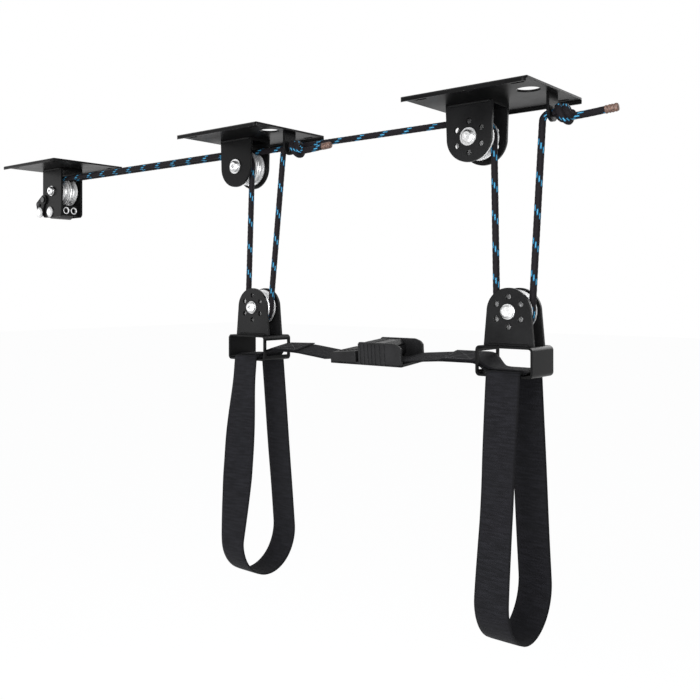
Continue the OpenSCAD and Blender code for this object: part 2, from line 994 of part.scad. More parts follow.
// Cross-section of a strap at station i; a station is [x, y, z, tilt]
function strap_ring(s, i) =
    let (a = s[max(i - 1, 0)], b = s[min(i + 1, len(s) - 1)],
         run = [b[0] - a[0], b[2] - a[2]] / norm([b[0] - a[0], b[2] - a[2]]),
         side = [0, 1, 0], up = [-run[1], 0, run[0]], k = s[i][3] * sign(run[0]),
         wide = side * cos(k) + up * sin(k), thick = up * cos(k) - side * sin(k),
         c = [s[i][0], s[i][1], s[i][2]])
    [for (q = [[-1, -1], [1, -1], [1, 1], [-1, 1]])
        c + wide * q[0] * web_w / 2 + thick * q[1] * link_t / 2];

module strap(s) {
    color(webbing) skin([for (i = [0:len(s) - 1]) strap_ring(s, i)]);
}

// Stations of a strap's eye, from the end that is sewn back, over the sling in the tube,
// round its edge, under it and out through the window. The strap leaves on side dir.
function eye_stations(x, y, dir, tilt, far_tilt) =
    let (low = tube_floor_z + link_t / 2, high = low + link_pitch + web_t + layer_gap,
         half = web_w / 2, wall = tube_w / 2, mid = (low + high) / 2, bow = (high - low) / 2,
         upper = link_z + link_pitch / 2, lower = link_z - link_pitch / 2)
    [
        [x + dir * (wall + lap_l), y, upper, far_tilt],
        [x + dir * (wall + lap_l / 2), y, upper, (tilt + far_tilt) / 2],
        [x + dir * wall, y, upper, tilt],
        [x + dir * half, y, high, 0],
        [x, y, high, 0],
        [x - dir * half, y, high, 0],
        [x - dir * (half + bow * sin(45)), y, mid + bow * cos(45), 0],
        [x - dir * (half + bow), y, mid, 0],
        [x - dir * (half + bow * sin(45)), y, mid - bow * cos(45), 0],
        [x - dir * half, y, low, 0],
        [x, y, low, 0],
        [x + dir * (half + link_t), y, low, 0],
        [x + dir * (wall + link_t), y, lower, tilt],
        [x + dir * (wall + lap_l / 2), y, lower, (tilt + far_tilt) / 2],
        [x + dir * (wall + lap_l), y, lower, far_tilt],
    ];

// Shift of a strap's stations towards the buckle's middle line, in step with x
function skew(s, x0, x1, y1) =
    [for (p = s)
        let (share = min(max((p[0] - x0) / (x1 - x0), 0), 1))
        [p[0], p[1] + (y1 - p[1]) * share, p[2], p[3]]];

module link_strap_a() {
    from = hang_a_x + tube_w / 2;
    lap_tilt = link_tilt * lap_l / buckle_reach;
    ends = [
        [buckle_x - link_turn, side_a_y, buckle_z + link_t, link_tilt],
        [buckle_x - link_t, side_a_y, buckle_z, buckle_tilt],
        [buckle_x + pad_l, side_a_y, buckle_z, buckle_tilt],
    ];
    strap(skew(concat(eye_stations(hang_a_x, side_a_y, 1, 0, lap_tilt), ends), from, buckle_x, mid_y));
}

module link_strap_b() {
    from = hang_b_x - tube_w / 2;
    out = buckle_x + buckle_l;
    ends = [
        [out + link_t, side_b_y, buckle_z + exit_rise, link_tilt],
        [out - link_turn, side_b_y, buckle_z + exit_rise * 0.3, (link_tilt + buckle_tilt) / 2],
        [buckle_x + cam_x, side_b_y, buckle_z, buckle_tilt],
        [buckle_x + side_x, side_b_y, buckle_z, buckle_tilt],
    ];
    strap(skew(concat(eye_stations(hang_b_x, side_b_y, -1, link_tilt, link_tilt), ends), from, out, mid_y));
}

// Parts of the buckle stand on its own strap line
module on_buckle() {
    translate([buckle_x, mid_y, buckle_z])
        rotate([buckle_tilt, 0, 0])
            children();
}

module buckle_side() {
    translate([side_x, buckle_low])
        polygon([[0, 0], [side_l, 0], [side_l * 0.95, buckle_h * 0.9], [side_l * 0.84, buckle_h],
                 [0, buckle_h]]);
}

module buckle_pad() {
    top = buckle_low + buckle_h * pad_share;
    nose = buckle_h * pad_slope_share;
    polygon([[0, buckle_low], [pad_l, buckle_low], [pad_l, top + nose], [nose, top], [0, top - nose]]);
}

module buckle_body() {
    half = buckle_w / 2;
    color(plastic)
        on_buckle() {
            translate([0, -half, buckle_low])
                cube([buckle_l, buckle_w, buckle_base_t]);
            difference() {
                upright(-half, buckle_w) buckle_pad();
                translate([-over, -web_w / 2 - slot_side, -slot_half_h])
                    cube([pad_l + 2 * over, web_w + 2 * slot_side, 2 * slot_half_h]);
            }
            difference() {
                for (y0 = [-half, half - buckle_side_t])
                    upright(y0, buckle_side_t) buckle_side();
                y_bar(cam_x, cam_z, cam_pin_r + press_gap, -half - over, buckle_w + 2 * over);
            }
            for (r = rib_shares)
                translate([side_x + side_l * r - rib_w / 2, -half - rib_t, buckle_low])
                    cube([rib_w, rib_t, buckle_h - rib_w]);
        }
}

// Lever with a round cam that bears on the strap
module cam_lever() {
    w = buckle_w - 2 * buckle_side_t - 2 * cam_side;
    color(plastic)
        on_buckle()
            translate([cam_x, 0, cam_z])
                difference() {
                    union() {
                        y_bar(0, 0, cam_r - slip, -w / 2, w);
                        upright(-w / 2, w)
                            polygon([[-lever_l, lever_top - lever_t], [-lever_l, lever_top],
                                     [cam_r * 0.2, lever_top], [cam_r * 0.9, lever_top * 0.6],
                                     [cam_r * 0.6, -cam_r * 0.5], [-cam_r * 0.6, -cam_r * 0.5],
                                     [-cam_r * 0.8, lever_top - lever_t]]);
                    }
                    y_bar(0, 0, cam_pin_r + slip, -w / 2 - over, w + 2 * over);
                }
}

module cam_pin() {
    color(zinc)
        on_buckle()
            y_bar(cam_x, cam_z, cam_pin_r, -buckle_w / 2, buckle_w);
}

// Straight rope between two points [x, z]
module rope_rod(p, q, y) {
    translate([p[0], y, p[1]])
        rotate([0, atan2(q[0] - p[0], q[1] - p[1]), 0])
            cylinder(r = rope_r, h = norm(q - p));
}

// Rope round a centre [x, z], from angle a0 up to angle a1
module rope_arc(c, y, r, a0, a1) {
    translate([c[0], y, c[1]])
        rotate([90, 0, 0])
            rotate([0, 0, a0])
                rotate_extrude(angle = a1 - a0)
                    translate([r, 0])
                        circle(r = rope_r);
}

// Ring of points round the rope at c [x, z], where the rope heads along a, with the
// radii of its points in the list radii
function rope_ring(c, y, a, radii) =
    let (n = len(radii))
    [for (k = [0:n - 1])
        let (wide = radii[k] * cos(360 * k / n), high = radii[k] * sin(360 * k / n))
        [c[0] - sin(a) * high, y + wide, c[1] + cos(a) * high]];
function round_radii() = [for (k = [0:rope_sides - 1]) rope_r];

// Rings of the rope on its way over a pulley at c, from angle a0 down to a1
function over_rings(c, y, a0, a1) =
    [for (i = [0:bend_steps])
        let (a = a0 + (a1 - a0) * i / bend_steps)
        rope_ring(polar(c, pitch_r, a), y, a - 90, round_radii())];

// Rope from its end in the lock, over the lock pulley and down onto the fall
module rope_run(u, y, lean) {
    start = rope_ring([lock_x - pitch_r, -lock_drop + tail_gap], y, 90, round_radii());
    color(rope_black)
        skin(concat([start], over_rings([lock_x, -axle_drop], y, 180, 90), over_rings(u, y, 90, -lean)));
}

module rope_a_run() {
    rope_run(up_a, side_a_y, down_a);
}

module rope_b_run() {
    rope_run(up_b, side_b_y, down_b);
}

module rope_a_down() {
    color(rope_black)
        rope_rod(polar(up_a, pitch_r, -down_a), polar(low_a, pitch_r, 180 - down_a), side_a_y);
}

module rope_b_down() {
    color(rope_black)
        rope_rod(polar(up_b, pitch_r, -down_b), polar(low_b, pitch_r, 180 - down_b), side_b_y);
}

module rope_a_back() {
    color(rope_black)
        rope_rod(polar(low_a, pitch_r, -back_a), polar(bend_a, bend_r, 180 - back_a), side_a_y);
}

module rope_b_back() {
    color(rope_black)
        rope_rod(polar(low_b, pitch_r, -back_b), polar(bend_b, bend_r, 180 - back_b), side_b_y);
}

module rope_loops() {
    color(rope_black) {
        rope_arc(low_a, side_a_y, pitch_r, 180 - down_a + loop_turn, 360 - back_a - loop_turn);
        rope_arc(low_b, side_b_y, pitch_r, 180 - down_b + loop_turn, 360 - back_b - loop_turn);
    }
}

// Radius of a knot at the distance s along it and at the angle k round it, where its
// turns lie side by side round the rope and sink in at both ends
function turn_height(s, k, j) =
    let (a = k + 360 * j, off = abs(s - rope_r - knot_pitch * a / 360),
         share = max(0, min(1, a / knot_lead, (360 * knot_turns - a) / knot_lead)))
    off < rope_r ? rope_r + (knot_r - rope_r + sqrt(rope_r * rope_r - off * off)) * share : rope_r;
function knot_radii(s) =
    [for (i = [0:rope_sides - 1]) max([for (j = [0:knot_turns - 1]) turn_height(s, 360 * i / rope_sides, j)])];

knot_l = knot_pitch * knot_turns + 2 * rope_r;
function knot_x(tab_x) = tab_x + tab_t + run_gap;
function tail_start(tab_x) = [knot_x(tab_x) + knot_l, -tie_drop];
function tail_end(tab_x) = tail_start(tab_x) + [tail_l, -tail_sag];

// Rope end round the bend, through the tab's hole, through its knot and out as a tail
module rope_knot(c, tab_x, y, lean) {
    bend = [for (i = [0:bend_steps])
        let (a = 180 - lean + (lean - 90) * i / bend_steps)
        rope_ring(polar(c, bend_r, a), y, a - 90, round_radii())];
    knot = [for (i = [0:knot_rings])
        let (s = knot_l * i / knot_rings)
        rope_ring([knot_x(tab_x) + s, -tie_drop], y, 0, knot_radii(s))];
    last = rope_ring(tail_end(tab_x), y, -atan2(tail_sag, tail_l), round_radii());
    skin(concat(bend, knot, [last]));
}

module rope_knots() {
    color(rope_black) {
        rope_knot(bend_a, mid_x + tab_reach, side_a_y, back_a);
        rope_knot(bend_b, end_x + tab_reach, side_b_y, back_b);
    }
}

// Sealed rope end, which carries on from the tail
module rope_seal(tab_x, y) {
    p = tail_end(tab_x);
    along = tail_end(tab_x) - tail_start(tab_x);
    translate([p[0], y, p[1]])
        rotate([0, atan2(along[0], along[1]), 0])
            cylinder(r = rope_r + seal_wall, h = seal_l);
}

module rope_seals() {
    color(seal_brown) {
        rope_seal(mid_x + tab_reach, side_a_y);
        rope_seal(end_x + tab_reach, side_b_y);
    }
}

lock_plate();
middle_plate();
end_plate();
lock_clevis();
middle_clevis();
end_clevis();
tie_tabs();
bracket_welds();
bracket_bolts();
bracket_nuts();
bracket_washers();
bracket_sleeves();
bracket_spacers();
rope_guide();
anvil_bolt();
anvil_sleeve();
lock_studs();
lock_frame();
lock_roller_pin();
lock_roller();
thumb_bar();
lock_pulley_a();
lock_pulley_b();
middle_pulley_a();
middle_pulley_b();
end_pulley();
lock_bush_a();
lock_bush_b();
middle_bush_a();
middle_bush_b();
end_bush();
hanger_tube_a();
hanger_tube_b();
hanger_ears();
hanger_welds();
hanger_bolts();
hanger_nuts();
hanger_washers();
hanger_sleeves();
hanger_spacers();
hanger_pulley_a();
hanger_pulley_b();
hanger_bush_a();
hanger_bush_b();
sling_a();
sling_b();
link_strap_a();
link_strap_b();
buckle_body();
cam_lever();
cam_pin();
rope_a_run();
rope_b_run();
rope_a_down();
rope_b_down();
rope_a_back();
rope_b_back();
rope_loops();
rope_knots();
rope_seals();
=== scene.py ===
import json
import math
import bpy
import bmesh
from mathutils import Matrix, Vector, noise

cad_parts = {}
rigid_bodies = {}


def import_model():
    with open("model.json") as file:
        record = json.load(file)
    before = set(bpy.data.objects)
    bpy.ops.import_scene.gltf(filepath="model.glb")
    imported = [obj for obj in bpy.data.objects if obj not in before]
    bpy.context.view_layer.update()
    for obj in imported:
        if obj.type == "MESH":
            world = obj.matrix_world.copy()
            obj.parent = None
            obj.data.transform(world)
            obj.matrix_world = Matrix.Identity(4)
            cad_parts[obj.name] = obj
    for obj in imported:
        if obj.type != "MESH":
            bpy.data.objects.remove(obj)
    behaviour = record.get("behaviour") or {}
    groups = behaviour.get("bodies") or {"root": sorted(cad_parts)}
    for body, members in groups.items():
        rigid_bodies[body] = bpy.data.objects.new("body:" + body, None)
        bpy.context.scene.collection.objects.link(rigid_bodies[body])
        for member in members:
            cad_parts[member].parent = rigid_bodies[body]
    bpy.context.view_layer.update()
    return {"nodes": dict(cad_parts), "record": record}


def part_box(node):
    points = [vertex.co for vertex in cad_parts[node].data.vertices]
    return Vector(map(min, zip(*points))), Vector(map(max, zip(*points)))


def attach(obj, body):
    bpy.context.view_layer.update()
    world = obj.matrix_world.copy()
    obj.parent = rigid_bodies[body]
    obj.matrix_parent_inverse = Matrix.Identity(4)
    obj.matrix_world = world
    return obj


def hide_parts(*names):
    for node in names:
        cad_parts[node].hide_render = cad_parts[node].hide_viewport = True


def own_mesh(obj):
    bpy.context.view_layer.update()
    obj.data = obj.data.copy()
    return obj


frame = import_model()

MM = 0.001
NODES = frame["nodes"]
scene = bpy.context.scene

# Camera
cam_data = bpy.data.cameras.new("camera")
cam_data.sensor_width = 36.0
cam_data.lens = 43.77
cam_data.shift_x = 0.08
cam_data.shift_y = -0.0857
cam_data.clip_start = 0.01
cam = bpy.data.objects.new("camera", cam_data)
cam.location = (0.9625, -0.9965, -0.251)
cam.rotation_euler = (math.radians(90), 0, math.radians(41.1))
scene.collection.objects.link(cam)
scene.camera = cam
scene.view_settings.view_transform = "Standard"

# Places and sizes in metres, nearly all as in the part's source
ROPE_R = 4.75 * MM
ROPE_Y = 9.25 * MM
PITCH_R = 25 * MM
MID_X, MID_Y = -0.032, 0.020
LOCK_X, END_X = MID_X - 0.530, MID_X + 0.427
ROPE_A_Y, ROPE_B_Y = MID_Y - ROPE_Y, MID_Y + ROPE_Y
AXLE_Z = -0.0475
HANG_A_X, HANG_B_X = MID_X + 0.041, END_X + 0.054
HANG_DROP = 0.323
LOW_AXLE_Z = 0.044 - HANG_DROP
ROPE_FOOT_Z = -0.097
TUBE_LOW = -0.363
TUBE_T = 3 * MM
TUBE_HALF_L = 30.5 * MM
TUBE_HALF_W = 0.040
TIE_Z = -0.027
BEND_R = 10 * MM
TAB_REACH = 0.104
TAB_T = 4 * MM
PLATE_T, CHEEK_T, EAR_GAP, WELD_R = 3 * MM, 4 * MM, 26 * MM, 3 * MM
KNOT_L = 2 * 9.7 * MM + 2 * ROPE_R
KNOT_DROP, KNOT_SLANT, KNOT_TURN_R = 4 * MM, 6.5 * MM, 9.6 * MM
TAIL_L, TAIL_SAG, SEAL_L = 38 * MM, 5 * MM, 15 * MM
SLING_T, SLING_R, SLING_DROP = 2.5 * MM, 62 * MM, 0.345
WEB_W, LINK_T, GAP = 48 * MM, 2 * MM, 0.3 * MM
LINK_STEP = LINK_T + GAP
LINK_Z = TUBE_LOW + 22 * MM
LAP = 0.055
LINK_TILT, BUCKLE_TILT = 12, 5
BUCKLE_REACH = 0.125
BUCKLE_X = HANG_A_X + TUBE_HALF_W + BUCKLE_REACH
BUCKLE_Z = TUBE_LOW + 12 * MM
BUCKLE_L = 0.125
PAD_L = 0.046
SIDE_X = 0.051
CAM_X, CAM_Z = SIDE_X + 0.037, 11.3 * MM
GUIDE_H = 22 * MM


# Node helpers
class Net:
    """A small wrapper that builds a node tree line by line."""

    def __init__(self, name):
        self.mat = bpy.data.materials.new(name)
        self.mat.use_nodes = True
        self.tree = self.mat.node_tree
        self.tree.nodes.clear()
        self.out = self.tree.nodes.new("ShaderNodeOutputMaterial")

    def add(self, kind, **values):
        n = self.tree.nodes.new("ShaderNode" + kind)
        for k, v in values.items():
            setattr(n, k, v)
        return n

    def put(self, socket, value):
        if isinstance(value, bpy.types.NodeSocket):
            self.tree.links.new(value, socket)
        elif value is not None:
            socket.default_value = value

    def math(self, op, a, b=None):
        n = self.add("Math", operation=op)
        self.put(n.inputs[0], a)
        self.put(n.inputs[1], b)
        return n.outputs[0]

    def mix(self, fac, a, b):
        """Colour a to colour b. A Mix node's colour sockets are inputs 6 and 7 and output 2."""
        n = self.add("Mix", data_type="RGBA")
        self.put(n.inputs[0], fac)
        self.put(n.inputs[6], a)
        self.put(n.inputs[7], b)
        return n.outputs[2]

    def noise(self, vec, scale, detail):
        n = self.add("TexNoise")
        self.put(n.inputs["Vector"], vec)
        n.inputs["Scale"].default_value = scale
        n.inputs["Detail"].default_value = detail
        n.inputs["Roughness"].default_value = 0.55
        return n.outputs["Fac"]

    def span(self, x, lo, hi, to_lo=0.0, to_hi=1.0):
        n = self.add("MapRange")
        n.clamp = True
        for i, v in enumerate((x, lo, hi, to_lo, to_hi)):
            self.put(n.inputs[i], v)
        return n.outputs[0]

    def bump(self, height, strength, distance, normal=None):
        n = self.add("Bump")
        n.inputs["Strength"].default_value = strength
        n.inputs["Distance"].default_value = distance
        self.put(n.inputs["Height"], height)
        self.put(n.inputs["Normal"], normal)
        return n.outputs[0]

    def scaled(self, vec, s):
        n = self.add("Mapping")
        self.put(n.inputs["Vector"], vec)
        n.inputs["Scale"].default_value = s
        return n.outputs[0]

    def principled(self, **values):
        n = self.add("BsdfPrincipled")
        for k, v in values.items():
            self.put(n.inputs[k.replace("_", " ")], v)
        self.tree.links.new(n.outputs[0], self.out.inputs[0])

    def coords(self):
        return self.add("TexCoord").outputs["Object"]


def rgb(r, g, b):
    return (r, g, b, 1.0)


# Materials
def powder_coat(name, base=0.0022, gloss=0.06):
    """Satin black powder coat: fine orange peel, faint dust and softly rounded corners."""
    m = Net(name)
    coords = m.coords()
    peel = m.noise(coords, 900.0, 2.0)
    cloud = m.noise(coords, 22.0, 4.0)
    speck = m.span(m.noise(coords, 2600.0, 1.0), 0.62, 0.72)
    body = m.mix(m.span(cloud, 0.3, 0.75), rgb(base, base, base * 1.06),
                 rgb(base * 1.9, base * 1.92, base * 2.0))
    color = m.mix(m.math("MULTIPLY", speck, 0.025), body, rgb(0.20, 0.20, 0.21))
    rough = m.span(m.math("ADD", m.math("MULTIPLY", cloud, 0.6), m.math("MULTIPLY", peel, 0.4)),
                   0.3, 0.75, 0.26, 0.40)
    soft_edge = m.add("Bevel", samples=4)
    soft_edge.inputs["Radius"].default_value = 0.0007
    normal = m.bump(peel, 0.18, 0.0002, soft_edge.outputs[0])
    m.principled(Base_Color=color, Roughness=rough, Normal=normal, Specular_IOR_Level=gloss)
    return m.mat


def steel(name, tone=0.62, low=0.16, high=0.34, turned=True, warm=0.0, metallic=1.0):
    """Plated metal with fine marks and light staining.

    turned stretches the marks round the hoist's y axis, and warm takes the grey towards bronze."""
    m = Net(name)
    coords = m.coords()
    cloud = m.noise(coords, 60.0, 4.0)
    fine = m.noise(m.scaled(coords, (1.0, 30.0, 1.0)) if turned else coords, 700.0, 2.0)
    clean = rgb(tone, tone * (1 - warm * 0.16), tone * (1 - warm * 0.5))
    stained = rgb(tone * 0.78, tone * 0.79 * (1 - warm * 0.18), tone * 0.80 * (1 - warm * 0.55))
    color = m.mix(m.span(cloud, 0.3, 0.75), clean, stained)
    rough = m.span(m.math("ADD", m.math("MULTIPLY", cloud, 0.5), m.math("MULTIPLY", fine, 0.5)),
                   0.3, 0.72, low, high)
    normal = m.bump(fine, 0.12, 0.00012)
    m.principled(Base_Color=color, Metallic=metallic, Roughness=rough, Normal=normal)
    return m.mat


def plastic(name, base=0.006, grain=1500.0, rough=(0.36, 0.52)):
    """Moulded plastic with a fine spark-eroded grain."""
    m = Net(name)
    coords = m.coords()
    pits = m.noise(coords, grain, 2.0)
    cloud = m.noise(coords, 35.0, 3.0)
    color = m.mix(m.span(cloud, 0.3, 0.7), rgb(base, base, base * 1.05),
                  rgb(base * 1.7, base * 1.7, base * 1.8))
    normal = m.bump(pits, 0.25, 0.0002)
    m.principled(Base_Color=color, Roughness=m.span(cloud, 0.3, 0.7, *rough), Normal=normal,
                 Specular_IOR_Level=0.12)
    return m.mat


def webbing(name, base=0.0028):
    """Woven polyester webbing. UV: metres along the strap, metres across it."""
    m = Net(name)
    uv = m.add("UVMap", uv_map="UVMap").outputs[0]
    split = m.add("SeparateXYZ")
    m.put(split.inputs[0], uv)
    u, v = split.outputs[0], split.outputs[1]
    # cross ribs every 2.1 mm, cut into bundles 1.6 mm wide, every second one half a rib further on
    row = m.math("DIVIDE", u, 0.0021)
    bundle = m.math("DIVIDE", v, 0.0016)
    step = m.math("MULTIPLY", m.math("MODULO", m.math("FLOOR", bundle), 2.0), 0.5)
    rib = m.math("SINE", m.math("MULTIPLY", m.math("ADD", row, step), 2 * math.pi))
    warp = m.math("COSINE", m.math("MULTIPLY", bundle, 2 * math.pi))
    weave = m.math("ADD", m.math("MULTIPLY", rib, 0.5), m.math("MULTIPLY", warp, -0.35))
    edge = m.span(m.math("ABSOLUTE", v), 0.0212, 0.0222)
    lint = m.noise(m.coords(), 1400.0, 2.0)
    cloud = m.noise(m.coords(), 18.0, 4.0)
    patch = m.span(m.noise(m.scaled(uv, (1.0, 0.12, 1.0)), 380.0, 2.0), 0.38, 0.66)
    tone = m.math("ADD", m.math("MULTIPLY", m.span(weave, -0.8, 0.85), 0.45),
                  m.math("ADD", m.math("MULTIPLY", lint, 0.25), m.math("MULTIPLY", patch, 0.4)))
    color = m.mix(tone, rgb(base * 0.2, base * 0.2, base * 0.22),
                  rgb(base * 4.2, base * 4.2, base * 5.2))
    faded = rgb(base * 2.2, base * 2.2, base * 2.5)
    color = m.mix(m.math("MULTIPLY", m.span(cloud, 0.35, 0.75), 0.30), color, faded)
    color = m.mix(m.math("MULTIPLY", edge, 0.45), color, rgb(base * 0.4, base * 0.4, base * 0.4))
    normal = m.bump(m.math("ADD", weave, m.math("MULTIPLY", lint, 0.3)), 0.55, 0.00035)
    m.principled(Base_Color=color, Roughness=0.78, Normal=normal, Sheen_Weight=0.015,
                 Sheen_Roughness=0.45, Specular_IOR_Level=0.07)
    return m.mat


def thread(name):
    """Black sewing thread."""
    m = Net(name)
    coords = m.coords()
    tone = m.noise(coords, 2500.0, 2.0)
    color = m.mix(tone, rgb(0.012, 0.012, 0.013), rgb(0.05, 0.05, 0.054))
    m.principled(Base_Color=color, Roughness=0.6, Normal=m.bump(tone, 0.4, 0.0002))
    return m.mat


def rope_cover(name, period, start=0.0):
    """Braided cover with blue tracer dashes. UV: metres along the rope, turns round it."""
    m = Net(name)
    uv = m.add("UVMap", uv_map="UVMap").outputs[0]
    split = m.add("SeparateXYZ")
    m.put(split.inputs[0], uv)
    u, v = split.outputs[0], split.outputs[1]
    lint = m.noise(m.coords(), 1500.0, 3.0)
    # eight lanes round the rope, each with one dash per period, a step further on in the next lane
    lanes = m.math("MULTIPLY", v, 8.0)
    lane = m.math("FLOOR", lanes)
    across = m.math("ABSOLUTE", m.math("SUBTRACT", m.math("FRACT", lanes), 0.5))
    along = m.math("FRACT", m.math("ADD", m.math("DIVIDE", m.math("ADD", u, start), period),
                                   m.math("DIVIDE", lane, 8.0)))
    ragged = m.math("ADD", along, m.math("MULTIPLY", m.math("SUBTRACT", lint, 0.5), 0.03))
    centre = m.math("ABSOLUTE", m.math("SUBTRACT", ragged, 0.5))
    # a dash of deep blue, and a light streak along its middle
    dash = m.math("MULTIPLY", m.span(centre, 0.090, 0.105, 1.0, 0.0),
                  m.span(across, 0.27, 0.36, 1.0, 0.0))
    streak = m.math("MULTIPLY", m.span(centre, 0.060, 0.085, 1.0, 0.0),
                    m.span(across, 0.05, 0.13, 1.0, 0.0))
    base = m.mix(lint, rgb(0.001, 0.001, 0.0015), rgb(0.010, 0.008, 0.010))
    deep = m.mix(lint, rgb(0.004, 0.045, 0.100), rgb(0.012, 0.115, 0.220))
    light = m.mix(lint, rgb(0.045, 0.240, 0.390), rgb(0.110, 0.370, 0.530))
    color = m.mix(streak, m.mix(dash, base, deep), light)
    twist = m.math("ADD", m.math("DIVIDE", u, 0.0011), m.math("MULTIPLY", lanes, 3.0))
    yarn = m.math("SINE", m.math("MULTIPLY", twist, 2 * math.pi))
    height = m.math("ADD", m.math("MULTIPLY", yarn, 0.22), lint)
    m.principled(Base_Color=color, Roughness=0.66, Normal=m.bump(height, 0.45, 0.0003),
                 Sheen_Weight=0.01, Sheen_Roughness=0.5, Specular_IOR_Level=0.08)
    return m.mat


def tape(name):
    """Brown heat-sealed rope end."""
    m = Net(name)
    coords = m.coords()
    blot = m.noise(coords, 420.0, 4.0)
    color = m.mix(m.span(blot, 0.35, 0.65), rgb(0.024, 0.010, 0.007), rgb(0.115, 0.060, 0.042))
    color = m.mix(m.span(m.noise(coords, 900.0, 2.0), 0.62, 0.72), color, rgb(0.20, 0.125, 0.09))
    m.principled(Base_Color=color, Roughness=0.5, Normal=m.bump(blot, 0.6, 0.0006))
    return m.mat


def rubber(name):
    """Grey rubber with ribs 2.2 mm apart along y."""
    m = Net(name)
    coords = m.coords()
    split = m.add("SeparateXYZ")
    m.put(split.inputs[0], coords)
    rib = m.math("SINE", m.math("MULTIPLY", split.outputs[1], 2 * math.pi / 0.0022))
    grit = m.noise(coords, 1100.0, 3.0)
    color = m.mix(grit, rgb(0.012, 0.012, 0.013), rgb(0.034, 0.034, 0.036))
    height = m.math("ADD", m.math("MULTIPLY", rib, 0.6), m.math("MULTIPLY", grit, 0.4))
    normal = m.bump(height, 0.5, 0.0005)
    m.principled(Base_Color=color, Roughness=0.62, Normal=normal, Specular_IOR_Level=0.3)
    return m.mat


M_PAINT = powder_coat("powder_coat")
M_EAR = powder_coat("powder_coat_ears", 0.004, gloss=0.09)
M_OXIDE = powder_coat("black_oxide", 0.008, gloss=0.35)
M_WELD = powder_coat("weld_coat", 0.004)
M_ZINC = steel("zinc_plate", 0.66, 0.20, 0.38, metallic=0.6)
M_WASHER = steel("washer_plate", 0.50, 0.30, 0.48, turned=False)
M_CHROME = steel("chrome_plate", 0.60, 0.28, 0.44, turned=False)
M_BRONZE = steel("bronze", 0.60, 0.24, 0.40, warm=1.0)
M_PLASTIC = plastic("buckle_plastic")
M_LEVER = plastic("lever_plastic", 0.005, 1100.0, (0.28, 0.42))
M_WEB = webbing("webbing_black")
M_LINK = webbing("webbing_link", 0.0024)
M_THREAD = thread("thread")
M_ROPE_A = rope_cover("rope_cover_a", 0.042)
M_ROPE_B = rope_cover("rope_cover_b", 0.042, 0.011)
M_KNOT = rope_cover("rope_cover_knot", 0.022)
M_SEAL = tape("rope_seal")
M_RUBBER = rubber("thumb_rubber")

LOOKS = {
    "black_paint": M_PAINT, "zinc": M_ZINC, "bright": M_CHROME, "bronze": M_BRONZE,
    "rubber_grey": M_RUBBER, "webbing": M_WEB, "rope": M_ROPE_A, "plastic": M_PLASTIC, "seal": M_SEAL,
}
SLOT_OF = {s["node"]: s["material_slot"] for s in frame["record"]["subparts"]}
SPECIAL = {
    "lock_studs": M_OXIDE, "anvil_sleeve": M_OXIDE, "cam_pin": M_OXIDE, "bracket_washers": M_WASHER,
    "hanger_washers": M_WASHER, "hanger_ears": M_EAR, "end_clevis": M_EAR, "bracket_welds": M_WELD,
    "hanger_welds": M_WELD, "cam_lever": M_LEVER,
}


def dress(node, mat):
    """Give a CAD node and what hangs under it one material."""
    for o in [node] + list(node.children_recursive):
        if o.type == "MESH":
            if not o.material_slots:
                o.data.materials.append(mat)
            for s in o.material_slots:
                s.material = mat


for name, node in NODES.items():
    dress(node, SPECIAL.get(name, LOOKS[SLOT_OF[name]]))


# Mesh helpers
def new_object(name, bm, mat, body, smooth=True):
    """A piece made from a bmesh, riding on a body."""
    me = bpy.data.meshes.new(name)
    bm.to_mesh(me)
    bm.free()
    me.materials.append(mat)
    for p in me.polygons:
        p.use_smooth = smooth
    o = bpy.data.objects.new(name, me)
    scene.collection.objects.link(o)
    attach(o, body)
    return o


def tube_rings(bm, rings, uvs, closed_ends=True):
    """Skin over rings of points. uvs gives (u of the ring, list of v at each point and at its seam)."""
    layer = bm.loops.layers.uv.get("UVMap") or bm.loops.layers.uv.new("UVMap")
    rows = [[bm.verts.new(p) for p in ring] for ring in rings]
    n = len(rows[0])
    for i in range(len(rows) - 1):
        for k in range(n):
            m = (k + 1) % n
            face = bm.faces.new((rows[i][k], rows[i][m], rows[i + 1][m], rows[i + 1][k]))
            (u0, v0), (u1, v1) = uvs[i], uvs[i + 1]
            corners = ((u0, v0[k]), (u0, v0[k + 1]), (u1, v1[k + 1]), (u1, v1[k]))
            for loop, corner in zip(face.loops, corners):
                loop[layer].uv = corner
    if closed_ends:
        bm.faces.new(list(reversed(rows[0])))
        bm.faces.new(rows[-1])


def frames_along(points):
    """Turn-free frames (tangent, side, up) along a route, starting with the side towards +y."""
    tangents = []
    for i in range(len(points)):
        before = points[max(i - 1, 0)]
        after = points[min(i + 1, len(points) - 1)]
        tangents.append((after - before).normalized())
    side = Vector((0, 1, 0))
    frames = []
    for tangent in tangents:
        side = (side - tangent * side.dot(tangent)).normalized()
        frames.append((tangent, side, tangent.cross(side)))
    return frames


def resample(points, step):
    """The same route with points about step apart, and its length."""
    lengths = [0.0]
    for a, b in zip(points, points[1:]):
        lengths.append(lengths[-1] + (b - a).length)
    n = max(2, int(round(lengths[-1] / step)))
    out, j = [], 0
    for i in range(n + 1):
        s = lengths[-1] * i / n
        while j < len(lengths) - 2 and lengths[j + 1] < s:
            j += 1
        gap = lengths[j + 1] - lengths[j]
        t = (s - lengths[j]) / gap if gap > 0 else 0.0
        out.append(points[j].lerp(points[j + 1], t))
    return out, lengths[-1]


